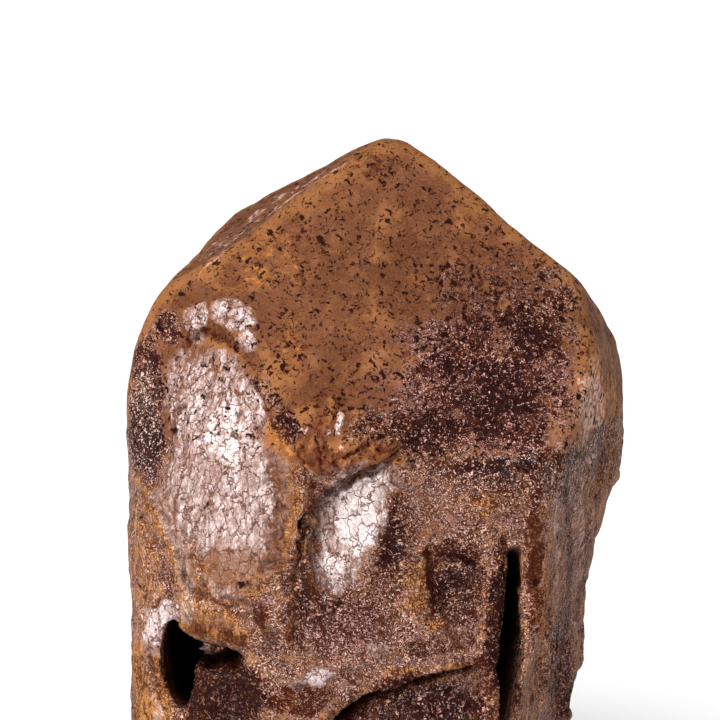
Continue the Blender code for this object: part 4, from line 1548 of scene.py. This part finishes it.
@dataclass(frozen=True)
class Shares:
    """How strongly each kind of stone covers what lies under it.

    A pair is the least share and what a pattern adds to it.
    """

    clouds: Pair = (0.30, 0.65)
    tan_ground: float = 0.45
    light_blotches: Pair = (0.35, 0.60)
    plum_blotches: float = 0.80
    mottle: float = 0.55
    light_grain: Pair = (0.16, 0.30)
    plum: float = 0.85
    tan: float = 0.85
    light_ribs: float = 0.80
    dark_ribs: float = 0.60
    pale: float = 0.90
    ridges: float = 0.25
    tan_fibres: float = 0.80
    fibres: Pair = (0.30, 0.70)
    flake_tones: float = 0.14
    # how far the pale marks, partly painted highlights, lighten the glossy skin
    pale_silver: float = 0.24
    worn_silver: float = 0.65
    tan_silver: float = 0.85
    cracks: float = 0.85
    narrow_cracks: float = 0.42
    # how much rust colour is painted into the creases as shade
    creases: float = 0.40
    rust: float = 0.90
    lit_shade: float = 0.50
    dark_threads: Pair = (0.86, 0.12)
    stain: float = 0.60
    specks: float = 0.94
    deep_red_shade: float = 0.80


@dataclass(frozen=True)
class Scribble:
    """How the specks and threads crowd, what adds to them or takes from them, and how wide they are.

    A pair is the least value and what a pattern adds to it.
    """

    large: Tick = Tick(1.25, 0.136)
    small: Tick = Tick(2.10, 0.085)
    blots: Tick = Tick(0.55, 0.200)
    ragged: float = 1.4
    less_ragged_wool: float = 0.5
    less_on_gloss: float = 0.6
    less_on_wool: float = 0.3
    ticks: Pair = (0.42, 0.95)
    fewer_on_wool: float = 0.56
    blot_share: Pair = (0.12, 0.50)
    small_specks: float = 0.7
    small_halos: float = 0.5
    threads_on_wool: float = 0.64
    threads_on_dark: float = 0.14
    fewer_on_gloss: float = 0.5
    width: float = 0.092
    slow_width: float = 0.7
    light_gap: float = 0.050
    light: Pair = (0.82, 0.18)
    stroke_sizes: Pair = (0.45, 1.10)
    stroke_slimness: float = 0.32
    lot_edge: float = 0.02


@dataclass(frozen=True)
class Heights:
    """How far each fine pattern stands out of the skin or sinks into it, in millimetres."""

    grain: float = 0.12
    specks: float = 0.12
    dark_threads: float = 0.16
    light_threads: float = 0.05
    ribs: float = 0.25
    flakes: float = 0.50
    streaks: float = 0.22
    cracks: float = 0.08


@dataclass(frozen=True)
class Sheen:
    """The stone's gloss: how strongly each pattern shines, what dulls it, and the shader's own values."""

    skin: float = 0.40
    pale: float = 0.45
    streaks: float = 0.25
    threads: float = 0.30
    glints: float = 0.80
    less_on_dark: float = 0.7
    less_on_tan: float = 0.6
    roughness: float = 0.55
    least_roughness: float = 0.30
    rough_grain: float = 0.5
    rough_specks: float = 0.2
    specular: float = 0.03
    coat_roughness: float = 0.24
    coat_ior: float = 2.1


@dataclass(frozen=True)
class BariteFinish:
    """The stone's finish."""

    tint: Tints = Tints()
    noise: Noises = Noises()
    edge: Edges = Edges()
    share: Shares = Shares()
    scribble: Scribble = Scribble()
    height: Heights = Heights()
    sheen: Sheen = Sheen()
    warp_reach: float = 1.3
    crackle_stretch: Triple = (1.0, 1.0, 0.65)
    crack_scales: Pair = (0.85, 2.2)
    flake_scale: float = 2.3
    streak_stretch: Triple = (1.7, 1.7, 0.30)

    def material(self) -> bpy.types.Material:
        """The stone's material.

        Returns:
            The material, with its colour, roughness, coat and bump laid out by the mesh's attributes.
        """
        sheet = Sheet("brown_barite")
        waver = sheet.noise(self.noise.waver).out("Color")
        warped = sheet.vector("ADD", sheet.place, sheet.scaled(waver, self.warp_reach))
        covers = self.covers(sheet)
        skin = self.crackle_skin(sheet, warped)
        threads = self.threads(sheet, covers, warped)
        grain = sheet.lumps(self.noise.grain)

        colour = self.honey_stone(sheet, covers, grain)
        colour = self.laid_on(sheet, colour, covers, skin, threads, grain)
        colour = self.darkened(sheet, colour, covers, threads)
        sheen = self.sheen
        rough = sheen.roughness + (grain - 0.5) * sheen.rough_grain + threads.specks * sheen.rough_specks
        bump = {"Strength": 1.0, "Distance": MM, "Height": self.stood_out(covers, skin, threads, grain)}

        shader = sheet.shader.inputs
        sheet.feed(shader["Base Color"], colour)
        sheet.feed(shader["Roughness"], (rough & 1.0) | sheen.least_roughness)
        sheet.feed(shader["Coat Weight"], self.shine(sheet, covers, skin, threads))
        sheet.feed(shader["Coat Roughness"], sheen.coat_roughness)
        sheet.feed(shader["Coat IOR"], sheen.coat_ior)
        sheet.feed(shader["Specular IOR Level"], sheen.specular)
        sheet.feed(shader["Normal"], sheet.node("ShaderNodeBump", {}, bump).out("Normal"))
        return sheet.material

    def covers(self, sheet: Sheet) -> Covers:
        """The mesh's layers, their outlines frayed.

        Args:
            sheet: the material's sheet.

        Returns:
            How much of each kind of stone shows.
        """
        ragged = sheet.lumps(self.noise.ragged) - 0.5
        fine = sheet.lumps(self.noise.frays) - 0.5

        def cover(layer: Layer) -> Value:
            """A layer with noise added to it and then steepened.

            Args:
                layer: the layer.

            Returns:
                How much of it shows.
            """
            laid, fray = sheet.layer(layer.value), FRAYS[layer]
            frayed = (laid + ragged * fray.slow + fine * fray.quick).step(0.5 - fray.soft, 0.5 + fray.soft)
            return frayed * laid.step(*self.edge.layers)

        return Covers(
            ragged=ragged,
            gloss=cover(Layer.GLOSS),
            rust=cover(Layer.RUST),
            tan=cover(Layer.TAN),
            pale=cover(Layer.PALE_AND_HIGHLIGHT),
            plum=cover(Layer.PLUM),
            dark=cover(Layer.DARK),
            wool=sheet.layer("wool"),
            deep=sheet.layer("deep"),
            crease=sheet.layer("crease"),
            ridge=sheet.layer("ridge"),
            ribs=sheet.layer("ribs"),
        )

    def honey_stone(self, sheet: Sheet, covers: Covers, grain: Value) -> Value:
        """The plain stone: brown, with slow clouds and fine grain, and blotched on the prism.

        Args:
            sheet: the material's sheet.
            covers: how much of each kind of stone shows.
            grain: the stone's fine grain.

        Returns:
            Its colour.
        """
        edge, share, tint = self.edge, self.share, self.tint
        clouds = sheet.lumps(self.noise.clouds).step(*edge.clouds)
        blotches = sheet.lumps(self.noise.blotches)
        mottle = sheet.lumps(self.noise.mottle).step(*edge.mottle)

        def grown(shares: Pair) -> Value:
            """A share that grows where the skin is woolly."""
            return shares[0] + covers.wool * shares[1]

        colour = sheet.mix(clouds * share.clouds[1] + share.clouds[0], tint.honey_dark, tint.honey)
        colour = sheet.mix(sheet.layer(Layer.TAN.value) * share.tan_ground, colour, tint.honey_light)
        light = blotches.step(*edge.light_blotches) * grown(share.light_blotches)
        colour = sheet.mix(light, colour, tint.honey_light)
        plum = blotches.step(*edge.plum_blotches) * covers.wool * share.plum_blotches
        colour = sheet.mix(plum, colour, tint.plum)
        colour = sheet.mix(mottle * share.mottle, colour, tint.honey_dark)
        return sheet.mix(grain.step(*edge.light_grain) * grown(share.light_grain), colour, tint.tan_light)

    def laid_on(
        self, sheet: Sheet, colour: Value, covers: Covers, skin: Skin, threads: Threads, grain: Value
    ) -> Value:
        """Plum, tan, ribbed, pale, glossy and rusty stone, and painted highlight and shade, on the plain
        stone.

        Args:
            sheet: the material's sheet.
            colour: the plain stone's colour.
            covers: how much of each kind of stone shows.
            skin: the crackle of the glossy skin.
            threads: the fine lines.
            grain: the stone's fine grain.

        Returns:
            The colour of it all.
        """
        edge, share, tint = self.edge, self.share, self.tint
        dapple = sheet.lumps(self.noise.dapple)
        tan = sheet.mix(dapple.step(*edge.light_tan), tint.tan, tint.tan_light)
        # pale stone, whitest where the pale marks are full; some of them are painted highlights
        pale = sheet.mix(covers.pale.step(*edge.white), tint.pale, tint.white)
        colour = sheet.mix(covers.plum * share.plum, colour, tint.plum)
        colour = sheet.mix(covers.tan * share.tan, colour, tan)
        light_ribs = covers.ribs * skin.streaks.step(*edge.light_ribs) * share.light_ribs
        dark_ribs = covers.ribs * skin.streaks.step(*edge.dark_ribs) * share.dark_ribs
        colour = sheet.mix(light_ribs, colour, tint.tan_light)
        colour = sheet.mix(dark_ribs, colour, tint.rust_dark)
        colour = sheet.mix(covers.pale * share.pale, colour, pale)
        colour = sheet.mix(covers.ridge * share.ridges, colour, tint.tan_light)

        # the light threads' colour: pale fibres, partly painted as highlights beside the dark threads
        pale_fibres = covers.ragged.step(*edge.pale_fibres) * (1.0 - covers.tan * share.tan_fibres)
        fibres = sheet.mix(pale_fibres, tint.tan_light, tint.pale)
        bright = share.fibres[0] + grain.step(*edge.bright_fibres) * share.fibres[1]
        colour = sheet.mix(threads.light * bright, colour, fibres)

        # the glossy skin's silver: lighter where its streaks and flake tones rise, and as a painted highlight
        # under pale marks
        shade = skin.streaks + skin.tone * share.flake_tones + covers.pale * share.pale_silver
        silver = sheet.mix(shade.step(*edge.light_silver), tint.silver, tint.silver_light)
        silver = sheet.mix(dapple.step(*edge.worn_silver) * share.worn_silver, silver, tint.honey_light)
        silver = sheet.mix(covers.tan * share.tan_silver, silver, tint.honey_light)
        colour = sheet.mix(covers.gloss, colour, silver)
        colour = sheet.mix(covers.gloss * skin.cracks * share.cracks, colour, tint.crackle)

        # rust, and rust colour painted into the creases as shade
        rusty = sheet.mix(dapple.step(*edge.light_rust), tint.rust_dark, tint.rust)
        return sheet.mix((covers.rust | covers.crease * share.creases) * share.rust, colour, rusty)

    def darkened(self, sheet: Sheet, colour: Value, covers: Covers, threads: Threads) -> Value:
        """Painted shade and darker patches, dark threads, specks and the painted shade of the depths over the
        rest.

        Args:
            sheet: the material's sheet.
            colour: the colour of the rest.
            covers: how much of each kind of stone shows.
            threads: the fine lines.

        Returns:
            The colour of it all.
        """
        edge, share, tint = self.edge, self.share, self.tint
        # painted shade and darker patches under the dark marks, with the light threads showing through half
        # of it
        colour = sheet.times(colour, tint.shade, covers.dark * (1.0 - threads.light * share.lit_shade))
        thread = sheet.mix(threads.crowded.step(*edge.black_threads), tint.rust_dark, tint.speck)
        dark = share.dark_threads[0] + threads.crowded * share.dark_threads[1]
        colour = sheet.mix(threads.dark * dark, colour, thread)
        colour = sheet.mix(threads.stain * share.stain, colour, tint.speck_red)
        colour = sheet.mix(threads.specks * share.specks, colour, tint.speck)
        # painted shade in the hollows and cracks: dark red where they begin to deepen, black deeper in
        colour = sheet.mix(covers.deep.step(*edge.deep_red_shade) * share.deep_red_shade, colour, tint.rust_dark)
        return sheet.mix(covers.deep.step(*edge.deep_black), colour, tint.black)

    def shine(self, sheet: Sheet, covers: Covers, skin: Skin, threads: Threads) -> Value:
        """How strongly the stone shines: the glossy skin, and the glitter of the wool.

        Args:
            sheet: the material's sheet.
            covers: how much of each kind of stone shows.
            skin: the crackle of the glossy skin.
            threads: the fine lines.

        Returns:
            The coat's weight.
        """
        sheen = self.sheen
        glints = sheet.lumps(self.noise.glints).step(*self.edge.glints)
        glitter = covers.wool * (threads.light * sheen.threads | glints * sheen.glints)
        glitter = glitter * (1.0 - covers.ribs) * (1.0 - covers.dark)
        bright = sheen.skin + covers.pale * sheen.pale + skin.streaks * sheen.streaks
        shine = covers.gloss * (1.0 - skin.cracks) * bright | glitter
        shine = shine * (1.0 - covers.deep) * (1.0 - threads.specks)
        return shine * (1.0 - covers.dark * sheen.less_on_dark) * (1.0 - covers.tan * sheen.less_on_tan)

    def stood_out(self, covers: Covers, skin: Skin, threads: Threads, grain: Value) -> Value:
        """The bump's height: the grain, specks, threads and ribs, and the glossy skin's flakes.

        Args:
            covers: how much of each kind of stone shows.
            skin: the crackle of the glossy skin.
            threads: the fine lines.
            grain: the stone's fine grain.

        Returns:
            The height in millimetres.
        """
        high = self.height
        lines = grain * high.grain - threads.specks * high.specks - threads.dark * high.dark_threads
        lines = lines + threads.light * high.light_threads + covers.ribs * skin.streaks * high.ribs
        flakes = skin.flakes * high.flakes + skin.streaks * high.streaks - skin.cracks * high.cracks
        return lines + covers.gloss * flakes

    def threads(self, sheet: Sheet, covers: Covers, warped: Value) -> Threads:
        """The dark specks, which are short crooked ticks, and the prism's fine scribble of threads.

        Args:
            sheet: the material's sheet.
            covers: how much of each kind of stone shows.
            warped: the wavering place that they are read at.

        Returns:
            The fine lines.
        """
        edge, scribble = self.edge, self.scribble
        ragged = covers.ragged * (scribble.ragged - covers.wool * scribble.less_ragged_wool)
        density = sheet.layer(Layer.SPECKS.value) + ragged
        density = density * (1.0 - covers.gloss * scribble.less_on_gloss)
        density = density * (1.0 - covers.wool * scribble.less_on_wool)
        share = density * scribble.ticks[1] + scribble.ticks[0] - covers.wool * scribble.fewer_on_wool
        ticks, halo = self.ticks(sheet, warped, scribble.large, share)
        small, small_halo = self.ticks(sheet, warped, scribble.small, share)
        blot_share = density * scribble.blot_share[1] + scribble.blot_share[0]
        blots, blot_halo = self.ticks(sheet, warped, scribble.blots, blot_share)

        away = abs(sheet.lumps(self.noise.threads) - 0.5)
        fine_away = abs(sheet.lumps(self.noise.fine_threads) - 0.5)
        crowds = density + covers.wool * scribble.threads_on_wool + covers.dark * scribble.threads_on_dark
        crowded = crowds.step(*edge.crowds) * (1.0 - covers.gloss * scribble.fewer_on_gloss)
        wide = crowded * scribble.width
        slow = (away - wide * scribble.slow_width).step(*edge.threads)
        dark = (slow | (fine_away - wide).step(*edge.fine_threads)) * crowded.step(*edge.dark_crowds)
        # light threads just beside the fine dark ones: pale fibres, also painted as highlights along their
        # edges
        light = abs(fine_away - wide - scribble.light_gap).step(*edge.light_threads)
        light = light * (1.0 - covers.gloss) * crowded.step(*edge.light_crowds)
        return Threads(
            specks=ticks | blots | small * scribble.small_specks,
            stain=halo | blot_halo | small | small_halo * scribble.small_halos,
            dark=dark,
            light=light * (scribble.light[0] + covers.wool * scribble.light[1]),
            crowded=crowded,
        )

    def ticks(self, sheet: Sheet, at: Value, tick: Tick, share: Value) -> tuple[Value, Value]:
        """Short strokes of random direction, one to a cell.

        Args:
            sheet: the material's sheet.
            at: the wavering place that they are read at.
            tick: how many and how wide they are.
            share: the share of the cells that hold one.

        Returns:
            The strokes' cover and that of the halo round them.
        """
        scribble = self.scribble
        cell = sheet.cells(tick.scale, at)
        lot = sheet.parts(cell.out("Color"))
        aside = sheet.vector("SUBTRACT", at, cell.out("Position"))
        along = sheet.vector("NORMALIZE", sheet.vector("SUBTRACT", cell.out("Color"), MEAN_COLOUR))
        across = sheet.measure("LENGTH", sheet.vector("CROSS_PRODUCT", aside, along))
        reach = abs(sheet.measure("DOT_PRODUCT", aside, along))
        size = lot.out("Green") * scribble.stroke_sizes[1] + scribble.stroke_sizes[0]
        away = (across * (1.0 / tick.radius)) | (reach * (scribble.stroke_slimness / tick.radius))
        chosen = lot.out("Red").step(share, share - scribble.lot_edge)
        return (away - size).step(*self.edge.ticks) * chosen, (away - size).step(*self.edge.halos) * chosen

    def crackle_skin(self, sheet: Sheet, warped: Value) -> Skin:
        """The crackle of the glossy skin.

        Args:
            sheet: the material's sheet.
            warped: the wavering place that it is read at.

        Returns:
            Its cracks, streaks, flakes and tones.
        """
        place = sheet.scaled(warped, self.crackle_stretch)
        wide, narrow = (sheet.cell_edges(scale, place) for scale in self.crack_scales)
        narrow_cracks = narrow.step(*self.edge.narrow_cracks) * self.share.narrow_cracks
        cells = sheet.cells(self.flake_scale, place)
        aside = sheet.vector("SUBTRACT", place, cells.out("Position"))
        lean = sheet.vector("SUBTRACT", cells.out("Color"), MEAN_COLOUR)
        return Skin(
            cracks=wide.step(*self.edge.wide_cracks) | narrow_cracks,
            streaks=sheet.lumps(self.noise.streaks, sheet.scaled(sheet.place, self.streak_stretch)),
            flakes=sheet.measure("DOT_PRODUCT", aside, lean),
            tone=sheet.parts(cells.out("Color")).out("Blue"),
        )


# ---- The studio ----
@dataclass(frozen=True)
class Lamp:
    """A soft lamp: its kind, where it stands, seen from the crystal, its size and its power."""

    name: str
    kind: str
    azimuth: float
    elevation: float
    distance: float
    size: float
    power: float

    def build(self, aim: Vector) -> None:
        """Adds the lamp to the scene.

        Args:
            aim: the point that it is turned to.
        """
        light = bpy.data.lights.new(self.name, self.kind)
        light.energy = self.power
        if self.kind == "SUN":
            light.angle = math.radians(self.size)
        else:
            light.size = self.size
        made = bpy.data.objects.new(self.name, light)
        back = direction(self.azimuth, self.elevation)
        made.location = aim + back * self.distance
        made.rotation_mode = "QUATERNION"
        made.rotation_quaternion = (-back).to_track_quat("-Z", "Y")
        bpy.context.scene.collection.objects.link(made)


@dataclass(frozen=True)
class Studio:
    """The pale floor, the lamps and the camera."""

    front: FrontView = FrontView()
    lens: float = 225.0
    sensor: float = 36.0
    clip: Pair = (0.01, 20.0)
    floor_size: float = 6.0
    floor_colour: Colour = (0.90, 0.90, 0.90)
    floor_roughness: float = 0.9
    sky_colour: Colour = (1.0, 1.0, 1.0)
    sky_strength: float = 0.40
    lamps: tuple[Lamp, ...] = (
        Lamp("softbox", "AREA", -52.0, 12.0, 0.45, 0.50, 2.4),
        Lamp("ceiling", "SUN", -15.0, 55.0, 1.0, 40.0, 3.0),
    )

    def build(self) -> None:
        """Adds the floor, the light and the camera to the scene."""
        aim = Vector(self.front.aim) * MM
        self.floor()
        self.sky()
        for lamp in self.lamps:
            lamp.build(aim)
        self.camera(aim)
        bpy.context.scene.view_settings.view_transform = "Standard"

    def floor(self) -> None:
        """The plain pale floor."""
        bm = bmesh.new()
        bmesh.ops.create_grid(bm, x_segments=1, y_segments=1, size=self.floor_size / 2)
        mesh = bpy.data.meshes.new("floor")
        bm.to_mesh(mesh)
        bm.free()
        made = bpy.data.objects.new("floor", mesh)
        bpy.context.scene.collection.objects.link(made)
        sheet = Sheet("pale_floor")
        sheet.feed(sheet.shader.inputs["Base Color"], self.floor_colour)
        sheet.feed(sheet.shader.inputs["Roughness"], self.floor_roughness)
        mesh.materials.append(sheet.material)

    def sky(self) -> None:
        """The soft white light from all round."""
        world = bpy.data.worlds.new("soft_white")
        world.use_nodes = True
        background = world.node_tree.nodes["Background"]
        background.inputs["Color"].default_value = (*self.sky_colour, 1.0)
        background.inputs["Strength"].default_value = self.sky_strength
        bpy.context.scene.world = world

    def camera(self, aim: Vector) -> None:
        """The camera, at the front view's place.

        Args:
            aim: the point that it is turned to.
        """
        lens = bpy.data.cameras.new("camera")
        lens.lens = self.lens
        lens.sensor_width = self.sensor
        lens.clip_start, lens.clip_end = self.clip
        made = bpy.data.objects.new("camera", lens)
        made.location = aim + self.front.backwards * (self.front.distance * MM)
        made.rotation_mode = "QUATERNION"
        made.rotation_quaternion = (-self.front.backwards).to_track_quat("-Z", "Y")
        bpy.context.scene.collection.objects.link(made)
        bpy.context.scene.camera = made


def main() -> None:
    """Builds the crystal, dresses it and sets it on the floor."""
    logging.basicConfig(level=logging.INFO, format="%(name)s: %(message)s")
    crystal = Crystal().build()
    crystal.data.materials.append(BariteFinish().material())
    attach(crystal, "root")
    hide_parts(NODE)
    LOG.info("%s: %d triangles", crystal.name, len(crystal.data.polygons))
    studio = Studio()
    studio.build()
    LOG.info("studio: floor, %d lamps and camera", len(studio.lamps))


if __name__ == "__main__":
    main()
